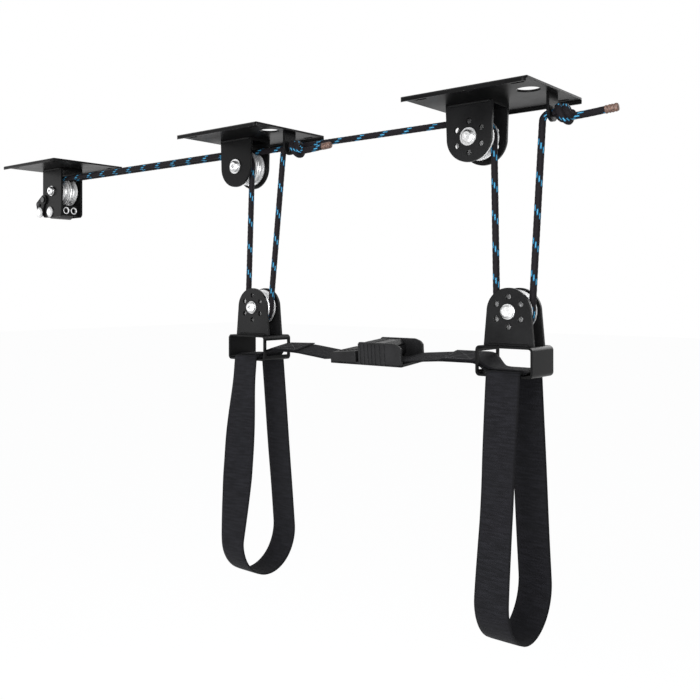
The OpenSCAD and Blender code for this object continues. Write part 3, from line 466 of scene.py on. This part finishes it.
def braid(bm, points, radius, start_u, step=0.0012):
    """Braided rope: strands both ways, raised where they cross. Returns u at its end."""
    sides, strands, lay = 24, 8, 0.0156
    points, total = resample(points, step)
    frames = frames_along(points)
    rings, uvs = [], []
    for i, p in enumerate(points):
        s = total * i / (len(points) - 1)
        w = 2 * math.pi * (s + start_u) / lay
        ring = []
        for k in range(sides):
            a = 2 * math.pi * k / sides
            lump = math.cos(strands * a / 2 + w) * math.cos(strands * a / 2 - w)
            r = radius * (0.965 + 0.035 * lump)
            ring.append(p + (frames[i][1] * math.cos(a) + frames[i][2] * math.sin(a)) * r)
        rings.append(ring)
        uvs.append((start_u + s, [k / sides for k in range(sides + 1)]))
    tube_rings(bm, rings, uvs)
    return start_u + total


def smooth_step(t):
    return t * t * (3 - 2 * t)


def polar(c, r, deg):
    a = math.radians(deg)
    return (c[0] + r * math.cos(a), c[1] + r * math.sin(a))


def lean_down(up, low):
    """Lean in degrees of the fall that leaves the pulley at up on +x and meets the one at low on -x."""
    d = math.hypot(up[0] - low[0], up[1] - low[1])
    slope = math.atan2(low[0] - up[0], up[1] - low[1])
    return math.degrees(math.asin(2 * PITCH_R / d) - slope)


def lean_back(low, bend):
    """Lean in degrees of the fall that rises from the pulley at low to the bend at the tie tab."""
    d = math.hypot(bend[0] - low[0], bend[1] - low[1])
    slope = math.atan2(bend[0] - low[0], bend[1] - low[1])
    return math.degrees(slope - math.asin((PITCH_R + BEND_R) / d))


def arc(c, r, a0, a1, n=24):
    return [polar(c, r, a0 + (a1 - a0) * i / n) for i in range(n + 1)]


# Ropes
def rope_routes(up, low, knot_x):
    """A rope's five stretches as (x, z) points, and the start and tip of its tail.

    up and low are the axles of the pulleys that its falls run between."""
    bend = (up[0] + TAB_REACH - 1 * MM, TIE_Z - BEND_R)
    down, back = lean_down(up, low), lean_back(low, bend)
    run = [(LOCK_X - PITCH_R, ROPE_FOOT_Z), (LOCK_X - PITCH_R, AXLE_Z - 1e-4)]
    run += arc((LOCK_X, AXLE_Z), PITCH_R, 180, 90) + arc(up, PITCH_R, 90, -down)
    fall = [polar(up, PITCH_R, -down), polar(low, PITCH_R, 180 - down)]
    turn = arc(low, PITCH_R, 180 - down, 360 - back, 40)
    rise = [polar(low, PITCH_R, -back), polar(bend, BEND_R, 180 - back)]
    inner = knot_x + KNOT_L / 4
    tail = (knot_x + KNOT_L - 3 * MM, TIE_Z - 1.9 * KNOT_DROP)
    tip = (knot_x + KNOT_L + TAIL_L, TIE_Z - TAIL_SAG)
    tie = arc(bend, BEND_R, 180 - back, 90, 16) + [(inner, TIE_Z)]
    for i in range(1, 9):
        tie.append((inner + (tail[0] - inner) * i / 8, TIE_Z + (tail[1] - TIE_Z) * smooth_step(i / 8)))
    for i in range(1, 9):
        t = i / 8
        tie.append((tail[0] + (tip[0] - tail[0]) * t, tail[1] + (tip[1] - tail[1]) * t ** 1.5))
    return {"run": run, "down": fall, "turn": turn, "back": rise, "tie": tie}, tail, tip


def knot_turns(tag, knot_x, y, start_u):
    """Turns of the stopper knot round the standing part, slanting and tucked in at both ends."""
    turns, n = 2.05, 130
    coil = []
    for i in range(n + 1):
        t = i / n
        ease = smooth_step(min(1.0, t / 0.12, (1 - t) / 0.12))
        r = ROPE_R * 0.5 + (KNOT_TURN_R - ROPE_R * 0.5) * ease
        a = 2 * math.pi * turns * t + math.radians(-110)
        x = knot_x + ROPE_R + (KNOT_L - 2 * ROPE_R) * t - KNOT_SLANT * math.sin(a) * ease * 0.6
        z = TIE_Z - KNOT_DROP * ease * (0.6 + 0.6 * t) + r * math.sin(a)
        coil.append(Vector((max(x, knot_x + ROPE_R), y + r * 0.92 * math.cos(a), z)))
    bm = bmesh.new()
    braid(bm, coil, ROPE_R * 0.985, start_u, step=0.0013)
    knot = new_object("rope_knot_cover_" + tag, bm, M_KNOT, "ceiling_frame")
    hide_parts("rope_knots")


def sealed_end(tag, y, tail, tip):
    """Lumpy seal over the rope's last stretch, rounded off at its end."""
    way = Vector((tip[0] - tail[0], 0, tip[1] - tail[1])).normalized()
    start = Vector((tip[0], y, tip[1])) - way * 1.0 * MM
    n, sides = 30, 24
    points = [start + way * (SEAL_L + 1.0 * MM) * i / n for i in range(n + 1)]
    frames = frames_along(points)
    rings, uvs = [], []
    for i, p in enumerate(points):
        s = i / n
        lumps = 1.0 + 0.05 * math.sin(s * 26) + 0.03 * math.sin(s * 61 + 1)
        close = 1.0
        if s >= 0.9:
            close = math.sqrt(max(0.0, 1 - ((s - 0.9) / 0.1) ** 2)) * 0.75 + 0.25
        ring = []
        for k in range(sides):
            a = 2 * math.pi * k / sides
            w = noise.noise(Vector((math.cos(a) * 1.4, math.sin(a) * 1.4, s * 7 + y * 90))) * 0.07
            r = (ROPE_R + 0.25 * MM) * min(1.08, lumps + w) * close
            ring.append(p + (frames[i][1] * math.cos(a) + frames[i][2] * math.sin(a)) * r)
        rings.append(ring)
        uvs.append((s, [k / sides for k in range(sides + 1)]))
    bm = bmesh.new()
    tube_rings(bm, rings, uvs)
    seal = new_object("rope_end_" + tag, bm, M_SEAL, "ceiling_frame")
    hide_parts("rope_seals")


def rope(tag, up, low, y, mat, shift):
    """One rope with its knot and seal. In the hoist the falls shorten with the lift; here each fall only
    gets a mesh of its own. shift moves its dashes along.
    """
    knot_x = up[0] + TAB_REACH + TAB_T + 0.3 * MM
    routes, tail, tip = rope_routes(up, low, knot_x)
    nodes_of = {"run": ["rope_%s_run" % tag], "down": ["rope_%s_down" % tag], "turn": ["rope_loops"],
                "back": ["rope_%s_back" % tag], "tie": ["rope_%s_run" % tag, "rope_knots"]}
    used = shift
    for part, route in routes.items():
        bm = bmesh.new()
        used = braid(bm, [Vector((x, y, z)) for x, z in route], ROPE_R, used)
        body = "load" if part == "turn" else "ceiling_frame"
        o = new_object("rope_%s_cover_%s" % (part, tag), bm, mat, body)
        if part in ("down", "back"):
            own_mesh(o)
        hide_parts(*nodes_of[part])
    knot_turns(tag, knot_x, y, used + 0.02)
    sealed_end(tag, y, tail, tip)


rope("a", (MID_X, AXLE_Z), (HANG_A_X, LOW_AXLE_Z), ROPE_A_Y, M_ROPE_A, 0.013)
rope("b", (END_X, AXLE_Z), (HANG_B_X, LOW_AXLE_Z), ROPE_B_Y, M_ROPE_B, 0.020)


# Webbing
def strip_rings(stations, width, thick):
    """Rings of a strap with rounded edges. A station is (point, across, out, u)."""
    half, t = width / 2, thick / 2
    rounding = 0.32 * t
    profile = [(-half + width * k / 8, -t) for k in range(9)] + [(half + rounding, 0.0)]
    profile += [(half - width * k / 8, t) for k in range(9)] + [(-half - rounding, 0.0)]
    across = [a for a, b in profile]
    rings, uvs = [], []
    for p, wide, out, u in stations:
        ring = []
        for a, b in profile:
            thinner = 1.0 - 0.35 * max(0.0, abs(a) / half - 0.94) / 0.06
            ring.append(p + wide * a + out * (b * thinner))
        rings.append(ring)
        uvs.append((u, across + across[:1]))
    return rings, uvs


def sling(tag, x, y, near_twist):
    """Closed loop of webbing: over the tube's floor, out at both mouths and round the bottom.

    near_twist is how many degrees its near side is turned."""
    r = SLING_R - SLING_T / 2
    round_z = TUBE_LOW - SLING_DROP + SLING_R
    edge = TUBE_HALF_L + GAP + SLING_T / 2
    top = TUBE_LOW + TUBE_T + LINK_STEP + SLING_T / 2
    run = Vector((edge, TUBE_LOW - round_z))
    a0 = math.degrees(math.asin(r / run.length) - math.atan2(run[0], run[1]))
    mouth = [(edge - 5 * MM, top), (edge - 1.6 * MM, top - 0.35 * MM), (edge - 0.3 * MM, top - 1.6 * MM),
             (edge, top - 4 * MM), (edge, TUBE_LOW)]
    loop = mouth + arc((0, round_z), r, a0, -180 - a0, 48) + [(-out, z) for out, z in reversed(mouth)]
    points = [Vector((x, y + out, z)) for out, z in loop]
    points, total = resample(points + [points[0]], 0.004)
    points = points[:-1]
    n = len(points)
    seed = x * 13.0
    stations = []
    for i, p in enumerate(points):
        tangent = (points[(i + 1) % n] - points[i - 1]).normalized()
        out = tangent.cross(Vector((1, 0, 0))).normalized()
        s = total * i / n
        low = max(0.0, min(1.0, (TUBE_LOW - 0.02 - p.z) / 0.12))
        sway = 0.9 * MM * noise.noise(Vector((s * 9, seed, 0.3))) * low
        turn = 0.020 * noise.noise(Vector((s * 6, seed, 4.1))) * low
        if p.y < y:
            foot = max(0.0, min(1.0, (p.z - round_z) / 0.10))
            turn += math.radians(near_twist) * smooth_step(low) * foot
        wide = Vector((1, 0, 0)) * math.cos(turn) + out * math.sin(turn)
        thick = out * math.cos(turn) - Vector((1, 0, 0)) * math.sin(turn)
        stations.append((p + out * sway * 0.5 + Vector((sway, 0, 0)), wide, thick, s))
    rings, uvs = strip_rings(stations, WEB_W - 0.4 * MM, SLING_T - 0.3 * MM)
    rings.append([v.copy() for v in rings[0]])
    uvs.append((total, uvs[0][1]))
    bm = bmesh.new()
    tube_rings(bm, rings, uvs, closed_ends=False)
    bmesh.ops.remove_doubles(bm, verts=bm.verts, dist=1e-6)
    bmesh.ops.recalc_face_normals(bm, faces=bm.faces)
    o = new_object("sling_web_" + tag, bm, M_WEB, "load")
    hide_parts("sling_" + tag)


sling("a", HANG_A_X, ROPE_A_Y, 26)
sling("b", HANG_B_X, ROPE_B_Y, -6)


def eye(x, y, d, tilt, far):
    """Stops (x, y, z, tilt) of a link strap's eye round the tube's wall. It leaves along x * d.

    tilt is its tilt in degrees at the wall, and far is the one at the end of its lap."""
    low = TUBE_LOW + TUBE_T + LINK_T / 2
    high = low + LINK_STEP + SLING_T + GAP
    half, wall = WEB_W / 2, TUBE_HALF_W
    mid, bow = (low + high) / 2, (high - low) / 2
    upper, lower = LINK_Z + LINK_STEP / 2, LINK_Z - LINK_STEP / 2
    slant = bow * math.sin(math.radians(45))
    between = (tilt + far) / 2
    return [
        (x + d * (wall + LAP), y, upper, far), (x + d * (wall + LAP / 2), y, upper, between),
        (x + d * wall, y, upper, tilt), (x + d * half, y, high, 0), (x, y, high, 0),
        (x - d * half, y, high, 0), (x - d * (half + slant), y, mid + slant, 0),
        (x - d * (half + bow), y, mid, 0), (x - d * (half + slant), y, mid - slant, 0),
        (x - d * half, y, low, 0), (x, y, low, 0), (x + d * (half + LINK_T), y, low, 0),
        (x + d * (wall + LINK_T), y, lower, tilt), (x + d * (wall + LAP / 2), y, lower, between),
        (x + d * (wall + LAP), y, lower, far)]


def skew(stops, x0, x1, y1):
    """The same stops, drawn towards y1 from x0 on and all at y1 from x1 on."""
    out = []
    for x, y, z, tilt in stops:
        share = min(max((x - x0) / (x1 - x0), 0), 1)
        out.append((x, y + (y1 - y) * share, z, tilt))
    return out


def strap_mesh(name, stops, node, mat):
    """Ribbon through stops (x, y, z, tilt in degrees), with its corners eased."""
    dense, tilts = [], []
    for a, b in zip(stops, stops[1:]):
        start, end = Vector(a[:3]), Vector(b[:3])
        n = max(1, int(round((end - start).length / 0.004)))
        for k in range(n):
            dense.append(start.lerp(end, k / n))
            tilts.append(a[3] + (b[3] - a[3]) * k / n)
    dense.append(Vector(stops[-1][:3]))
    tilts.append(stops[-1][3])
    # neighbours are averaged a few times, with both ends held
    for _ in range(3):
        inner = [(a + b * 2 + c) / 4 for a, b, c in zip(dense, dense[1:], dense[2:])]
        dense = [dense[0]] + inner + [dense[-1]]
    side = Vector((0, 1, 0))
    stations, s = [], 0.0
    for i, p in enumerate(dense):
        if i:
            s += (p - dense[i - 1]).length
        a, b = dense[max(i - 1, 0)], dense[min(i + 1, len(dense) - 1)]
        run = Vector((b.x - a.x, 0, b.z - a.z)).normalized()
        up = Vector((-run.z, 0, run.x))
        tilt = math.radians(tilts[i]) * (1 if run.x >= 0 else -1)
        wide = side * math.cos(tilt) + up * math.sin(tilt)
        thick = up * math.cos(tilt) - side * math.sin(tilt)
        stations.append((p, wide, thick, s))
    rings, uvs = strip_rings(stations, WEB_W - 0.6 * MM, LINK_T - 0.15 * MM)
    bm = bmesh.new()
    tube_rings(bm, rings, uvs)
    bmesh.ops.recalc_face_normals(bm, faces=bm.faces)
    o = new_object(name, bm, mat, "load")
    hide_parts(node)


FROM_A, FROM_B = HANG_A_X + TUBE_HALF_W, HANG_B_X - TUBE_HALF_W
OUT_B = BUCKLE_X + BUCKLE_L
stops_a = eye(HANG_A_X, ROPE_A_Y, 1, 9, LINK_TILT) + [
    (BUCKLE_X - 15 * MM, ROPE_A_Y, BUCKLE_Z + LINK_T, LINK_TILT),
    (BUCKLE_X - LINK_T, ROPE_A_Y, BUCKLE_Z, BUCKLE_TILT),
    (BUCKLE_X + PAD_L - 1 * MM, ROPE_A_Y, BUCKLE_Z, BUCKLE_TILT)]
stops_a = skew(stops_a, FROM_A, BUCKLE_X, MID_Y)
stops_b = eye(HANG_B_X, ROPE_B_Y, -1, LINK_TILT, LINK_TILT) + [
    (OUT_B + LINK_T, ROPE_B_Y, BUCKLE_Z + 5 * MM, LINK_TILT),
    (OUT_B - 15 * MM, ROPE_B_Y, BUCKLE_Z + 1.5 * MM, (LINK_TILT + BUCKLE_TILT) / 2),
    (BUCKLE_X + CAM_X, ROPE_B_Y, BUCKLE_Z, BUCKLE_TILT),
    (BUCKLE_X + SIDE_X + 1 * MM, ROPE_B_Y, BUCKLE_Z, BUCKLE_TILT)]
stops_b = skew(stops_b, FROM_B, OUT_B, MID_Y)
strap_mesh("link_web_a", stops_a, "link_strap_a", M_LINK)
strap_mesh("link_web_b", stops_b, "link_strap_b", M_LINK)


# Rows of stitches on the laps
def stitches(name, lines, up):
    """Short raised threads along each line of points. up is the way they stand out."""
    bm = bmesh.new()
    n, sides = 6, 6
    for line in lines:
        points, _ = resample(line, 0.0034)
        for a, b in zip(points, points[1:]):
            side = (b - a).normalized().cross(up).normalized()
            rows = []
            for i in range(n + 1):
                arch = math.sin(math.pi * i / n)
                c = a.lerp(b, 0.10 + 0.8 * i / n) + up * (0.30 * MM * arch)
                r = 0.32 * MM * (0.35 + 0.65 * arch) + 0.02 * MM
                turns = [2 * math.pi * k / sides for k in range(sides)]
                rows.append([bm.verts.new(c + (side * math.cos(q) + up * math.sin(q)) * r) for q in turns])
            for row, after in zip(rows, rows[1:]):
                for k in range(sides):
                    m = (k + 1) % sides
                    bm.faces.new((row[k], row[m], after[m], after[k]))
            bm.faces.new(list(reversed(rows[0])))
            bm.faces.new(rows[-1])
    bmesh.ops.recalc_face_normals(bm, faces=bm.faces)
    new_object(name, bm, M_THREAD, "load")


def lap_stitches(name, stops, x_in, x_out, tilt):
    """A boxed cross on the sewn-back end, on its upper layer, which the first three stops give."""
    def place(x, v):
        a, b, c = stops[:3]
        if (x - b[0]) * (c[0] - b[0]) > 0:
            a, b = b, c
        k = (x - a[0]) / (b[0] - a[0])
        y, z, lean = [a[j] + (b[j] - a[j]) * k for j in (1, 2, 3)]
        t = math.radians(lean)
        side = Vector((0, math.cos(t), math.sin(t)))
        up = Vector((0, -math.sin(t), math.cos(t)))
        return Vector((x, y, z)) + side * v + up * (LINK_T / 2 - 0.05 * MM)

    w = 19 * MM
    corners = [(x_in, -w), (x_out, -w), (x_out, w), (x_in, w)]
    lines = []
    for i, j in ((0, 1), (1, 2), (2, 3), (3, 0), (0, 2), (3, 1)):
        start, end = corners[i], corners[j]
        middle = ((start[0] + end[0]) / 2, (start[1] + end[1]) / 2)
        lines.append([place(*start), place(*middle), place(*end)])
    t = math.radians(tilt)
    stitches(name, lines, Vector((0, -math.sin(t), math.cos(t))))


lap_stitches("lap_stitches_a", stops_a, FROM_A + 12 * MM, FROM_A + LAP - 5 * MM, 10.5)
lap_stitches("lap_stitches_b", stops_b, FROM_B - 12 * MM, FROM_B - LAP + 5 * MM, LINK_TILT)


# Cam buckle, drawn in millimetres from the end that the fixed strap enters
BUCKLE = Matrix.Translation((BUCKLE_X, MID_Y, BUCKLE_Z)) @ Matrix.Rotation(math.radians(BUCKLE_TILT), 4, "X")
LENGTH, PAD_END, WALL_X = BUCKLE_L / MM, PAD_L / MM, SIDE_X / MM
HALF_W, HEIGHT, SHELL_T, SLOT_HALF_H = 30, 33, 4, 1.3
FLOOR_Z = -SLOT_HALF_H - SHELL_T
WALL_TOP = FLOOR_Z + HEIGHT
CAM_R = 9.95 * 0.985
LEVER_TOP = WALL_TOP - 1.5 - CAM_Z / MM
LEVER_END, LEVER_T = -34, 3.0


def prism(bm, outline, y0, y1, bevel=0.0):
    """Outline (x, z) drawn out along y, in mm, with all its edges rounded by bevel."""
    part = bmesh.new()
    near = [part.verts.new((x * MM, y0 * MM, z * MM)) for x, z in outline]
    far = [part.verts.new((x * MM, y1 * MM, z * MM)) for x, z in outline]
    n = len(outline)
    part.faces.new(near)
    part.faces.new(list(reversed(far)))
    for i in range(n):
        j = (i + 1) % n
        part.faces.new((near[j], near[i], far[i], far[j]))
    bmesh.ops.recalc_face_normals(part, faces=part.faces)
    if bevel:
        bmesh.ops.bevel(part, geom=list(part.edges), offset=bevel * MM, segments=2, profile=0.6,
                        affect="EDGES", clamp_overlap=True)
    me = bpy.data.meshes.new("part")
    part.to_mesh(me)
    part.free()
    bm.from_mesh(me)
    bpy.data.meshes.remove(me)


def rect(x0, x1, z0, z1):
    return [(x0, z0), (x1, z0), (x1, z1), (x0, z1)]


bm = bmesh.new()
prism(bm, rect(0, LENGTH, FLOOR_Z, FLOOR_Z + SHELL_T), -HALF_W, HALF_W, 0.7)
# pad that holds the fixed strap: two cheeks, and a cover over the strap with four bars
slope = [(PAD_END, 14.5), (PAD_END - 4, 14.2), (3.3, 11.2), (0.6, 9.6), (0, 7.9)]
cheek = [(0, FLOOR_Z), (PAD_END, FLOOR_Z)] + slope
cover = [(0, SLOT_HALF_H), (PAD_END, SLOT_HALF_H)] + slope
prism(bm, cheek, -HALF_W, -24.4, 0.8)
prism(bm, cheek, 24.4, HALF_W, 0.8)
prism(bm, cover, -25.2, 25.2, 0.9)
for k in range(4):
    x = 10 + 8 * k
    prism(bm, rect(x, x + 3.2, 10.5 + x * 0.078, 12.4 + x * 0.078), -21, 21, 0.6)
# side walls, each with moulded ribs on the outside and a thick rim along the top
wall = [(WALL_X, FLOOR_Z), (LENGTH, FLOOR_Z), (LENGTH, 20), (LENGTH - 3.7, 24.4), (LENGTH - 11.8, 27.4),
        (LENGTH - 15, WALL_TOP), (WALL_X + 3, WALL_TOP), (WALL_X, WALL_TOP - 2.5)]
rim = rect(WALL_X + 2, LENGTH - 14, WALL_TOP - 2.6, WALL_TOP)
for s, y0, y1 in ((-1, -HALF_W, SHELL_T - HALF_W), (1, HALF_W - SHELL_T, HALF_W)):
    prism(bm, wall, y0, y1, 0.9)
    for share in (0.04, 0.13, 0.22, 0.305, 0.39, 0.50, 0.61):
        x = WALL_X + (LENGTH - WALL_X) * share
        rib = rect(x - 1.4, x + 1.4, FLOOR_Z + 0.4, WALL_TOP - 2.2)
        prism(bm, rib, s * 29.6 - 0.2, s * 30.9, 0.5)
    prism(bm, rim, s * 29.3 - 0.6, s * 29.3 + 1.1, 0.5)
# floor teeth under the cam
for k in range(-2, 3):
    x = CAM_X / MM + 4 * k
    tooth = [(x - 1.2, -SLOT_HALF_H - 0.3), (x + 1.2, -SLOT_HALF_H - 0.3), (x, -SLOT_HALF_H + 0.15)]
    prism(bm, tooth, -24, 24)
bm.transform(BUCKLE)
o = new_object("buckle_shell", bm, M_PLASTIC, "load", smooth=False)
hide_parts("buckle_body")

# lever: toothed cam and handle in one outline, grip bars on the handle, and two side webs
bm = bmesh.new()
outline = []
for k in range(46):
    a = math.radians(-200 + 250 * k / 45)
    r = CAM_R - (0.55 if k % 2 == 0 and 8 <= k <= 26 else 0.0)
    outline.append((r * math.cos(a), r * math.sin(a)))
outline += [(8.4, 9.6), (2.0, LEVER_TOP), (LEVER_END + 0.8, LEVER_TOP), (LEVER_END, LEVER_TOP - 0.9),
            (LEVER_END + 0.6, LEVER_TOP - LEVER_T), (-9.0, LEVER_TOP - LEVER_T)]
prism(bm, outline, -25, 25, 0.5)
for k in range(5):
    x = LEVER_END + 3 + 3.4 * k
    prism(bm, rect(x, x + 1.7, LEVER_TOP - 0.5, LEVER_TOP + 0.75), -19, 19, 0.4)
side_web = [(LEVER_END, LEVER_TOP - 6.5), (LEVER_END, LEVER_TOP), (2, LEVER_TOP), (9, 8.94), (8, 0), (-8, 0),
            (-10, LEVER_TOP - 7.5)]
for y0, y1 in ((-26.4, -24.6), (24.6, 26.4)):
    prism(bm, side_web, y0, y1, 0.4)
bm.transform(BUCKLE @ Matrix.Translation((CAM_X, 0, CAM_Z)))
o = new_object("lever_shell", bm, M_LEVER, "cam_lever_body", smooth=False)
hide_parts("cam_lever")


# Eyelets of the rope guide
def eyelet(name, x, y, z, depth):
    """Rolled metal rim, in the face at x, with a liner that goes back through the hole."""
    profile = [(0, 5.9), (0, 7.0), (0.5, 7.2), (1.0, 6.7), (1.15, 6.1), (0.8, 5.4), (0, 5.2),
               (-depth, 5.2), (-depth, 5.9)]
    n = 48
    rings, uvs = [], []
    for i in range(n + 1):
        a = 2 * math.pi * i / n
        around = Vector((0, math.cos(a), math.sin(a)))
        rings.append([Vector((x + p * MM, y, z)) + around * r * MM for p, r in profile])
        uvs.append((i / n, [k / len(profile) for k in range(len(profile) + 1)]))
    bm = bmesh.new()
    tube_rings(bm, rings, uvs, closed_ends=False)
    bmesh.ops.remove_doubles(bm, verts=bm.verts, dist=1e-6)
    bmesh.ops.recalc_face_normals(bm, faces=bm.faces)
    new_object(name, bm, M_ZINC, "ceiling_frame")


guide_lo, guide_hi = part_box("rope_guide")
for tag, y in (("near", ROPE_A_Y), ("far", ROPE_B_Y)):
    eyelet("guide_eyelet_" + tag, guide_hi[0], y, guide_lo[2] + GUIDE_H / 2, 3.6)


# Weld beads
def weld(name, runs, body, node):
    """Rippled beads. A run is (x0, x1, y, z, sy, sz), in the corner at y and z that opens to sy and sz."""
    bm = bmesh.new()
    for x0, x1, y, z, sy, sz in runs:
        n = int((x1 - x0) / 0.0008)
        rings, uvs = [], []
        for i in range(n + 1):
            x = x0 + (x1 - x0) * i / n
            phase = (x / 0.0036) % 1.0
            ripple = 0.80 + 0.18 * math.sqrt(max(0.0, 1 - (2 * phase - 1) ** 2))
            uneven = 1 + 0.10 * noise.noise(Vector((x * 160, y * 40, z * 40)))
            end = min(1.0, (x - x0) / 0.003 + 0.15, (x1 - x) / 0.003 + 0.15)
            r = WELD_R * ripple * uneven * end
            ring = [Vector((x, y - sy * 0.2 * MM, z - sz * 0.2 * MM))]
            for k in range(9):
                a = math.pi / 2 * k / 8
                bulge = 0.5 * MM * math.sin(2 * a)
                ring.append(Vector((x + bulge, y + sy * r * math.cos(a), z + sz * r * math.sin(a))))
            if sy * sz > 0:
                ring = [ring[0]] + ring[:0:-1]
            rings.append(ring)
            uvs.append((x, [k / 10 for k in range(11)]))
        tube_rings(bm, rings, uvs)
    bmesh.ops.recalc_face_normals(bm, faces=bm.faces)
    o = new_object(name, bm, M_WELD, body)
    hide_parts(node)


# each bracket: its place, its length along x and the gap between its cheeks
BRACKETS = ((LOCK_X, MID_Y, 66 * MM, 43 * MM), (MID_X, MID_Y, 70 * MM, 38 * MM),
            (END_X, ROPE_B_Y, 70 * MM, 38 * MM))
runs = []
for x, y, length, gap in BRACKETS:
    for s in (-1, 1):
        reach = length / 2 - 3 * MM
        runs.append((x - reach, x + reach, y + s * (gap / 2 + CHEEK_T), -PLATE_T, s, -1))
weld("weld_beads_brackets", runs, "ceiling_frame", "bracket_welds")
runs = []
for x, y in ((HANG_A_X, ROPE_A_Y), (HANG_B_X, ROPE_B_Y)):
    for s in (-1, 1):
        runs.append((x - 29 * MM, x + 29 * MM, y + s * (EAR_GAP / 2 + CHEEK_T), -HANG_DROP, s, 1))
weld("weld_beads_hangers", runs, "load", "hanger_welds")

# Floor, lamps, world
me = bpy.data.meshes.new("floor")
me.from_pydata([(-30, -30, 0), (30, -30, 0), (30, 30, 0), (-30, 30, 0)], [], [(0, 1, 2, 3)])
floor = bpy.data.objects.new("floor", me)
floor.location = (0, 0, -1.9)
scene.collection.objects.link(floor)
m = Net("floor_pale")
path = m.add("LightPath")
mirrored = m.math("MAXIMUM", path.outputs["Is Glossy Ray"], path.outputs["Is Transmission Ray"])
seen = m.math("MAXIMUM", path.outputs["Is Camera Ray"], mirrored)
# seen straight or mirrored it is nearly white, and a tenth of it still takes light and shadow
diffuse = m.add("BsdfDiffuse")
diffuse.inputs[0].default_value = rgb(0.86, 0.86, 0.86)
glow = m.add("Emission")
glow.inputs[0].default_value = rgb(1, 1, 1)
glow.inputs[1].default_value = 1.04
mixer = m.add("MixShader")
m.put(mixer.inputs[0], m.math("MULTIPLY", seen, 0.90))
m.put(mixer.inputs[1], diffuse.outputs[0])
m.put(mixer.inputs[2], glow.outputs[0])
m.tree.links.new(mixer.outputs[0], m.out.inputs[0])
me.materials.append(m.mat)

# soft light on the object, and plain white where a camera, mirror or transmission ray meets it
world = bpy.data.worlds.new("world")
scene.world = world
world.use_nodes = True
tree = world.node_tree
tree.nodes.clear()
path = tree.nodes.new("ShaderNodeLightPath")
seen = path.outputs["Is Camera Ray"]
for ray in ("Is Glossy Ray", "Is Transmission Ray"):
    either = tree.nodes.new("ShaderNodeMath")
    either.operation = "MAXIMUM"
    tree.links.new(seen, either.inputs[0])
    tree.links.new(path.outputs[ray], either.inputs[1])
    seen = either.outputs[0]
mixer = tree.nodes.new("ShaderNodeMixShader")
tree.links.new(seen, mixer.inputs[0])
for i, color, strength in ((1, rgb(0.95, 0.97, 1.0), 0.55), (2, rgb(1, 1, 1), 1.0)):
    ground = tree.nodes.new("ShaderNodeBackground")
    ground.inputs[0].default_value = color
    ground.inputs[1].default_value = strength
    tree.links.new(ground.outputs[0], mixer.inputs[i])
out = tree.nodes.new("ShaderNodeOutputWorld")
tree.links.new(mixer.outputs[0], out.inputs[0])


def area(name, loc, target, size, power):
    """Rectangular lamp aimed at target. size is in metres and power in watts."""
    lamp = bpy.data.lights.new(name, "AREA")
    lamp.shape = "RECTANGLE"
    lamp.size, lamp.size_y = size
    lamp.energy = power
    o = bpy.data.objects.new(name, lamp)
    o.location = loc
    way = Vector(target) - Vector(loc)
    o.rotation_euler = way.to_track_quat("-Z", "Y").to_euler()
    scene.collection.objects.link(o)


area("key", (1.2, -2.2, 0.9), (0, 0, -0.25), (1.4, 1.4), 46)
area("front", (0.5, -1.7, -0.35), (0, 0, -0.2), (0.9, 0.9), 26)
area("eye", (1.9, -2.0, -0.2), (0.0, 0.0, -0.25), (0.5, 0.5), 30)
area("fill", (-2.2, -1.4, -0.2), (0, 0, -0.2), (1.6, 1.6), 16)
area("rim", (0.6, 2.2, 0.6), (0, 0, -0.2), (1.6, 1.2), 24)
area("low", (0.6, -1.0, -1.7), (0, 0, -0.2), (1.6, 1.6), 9)
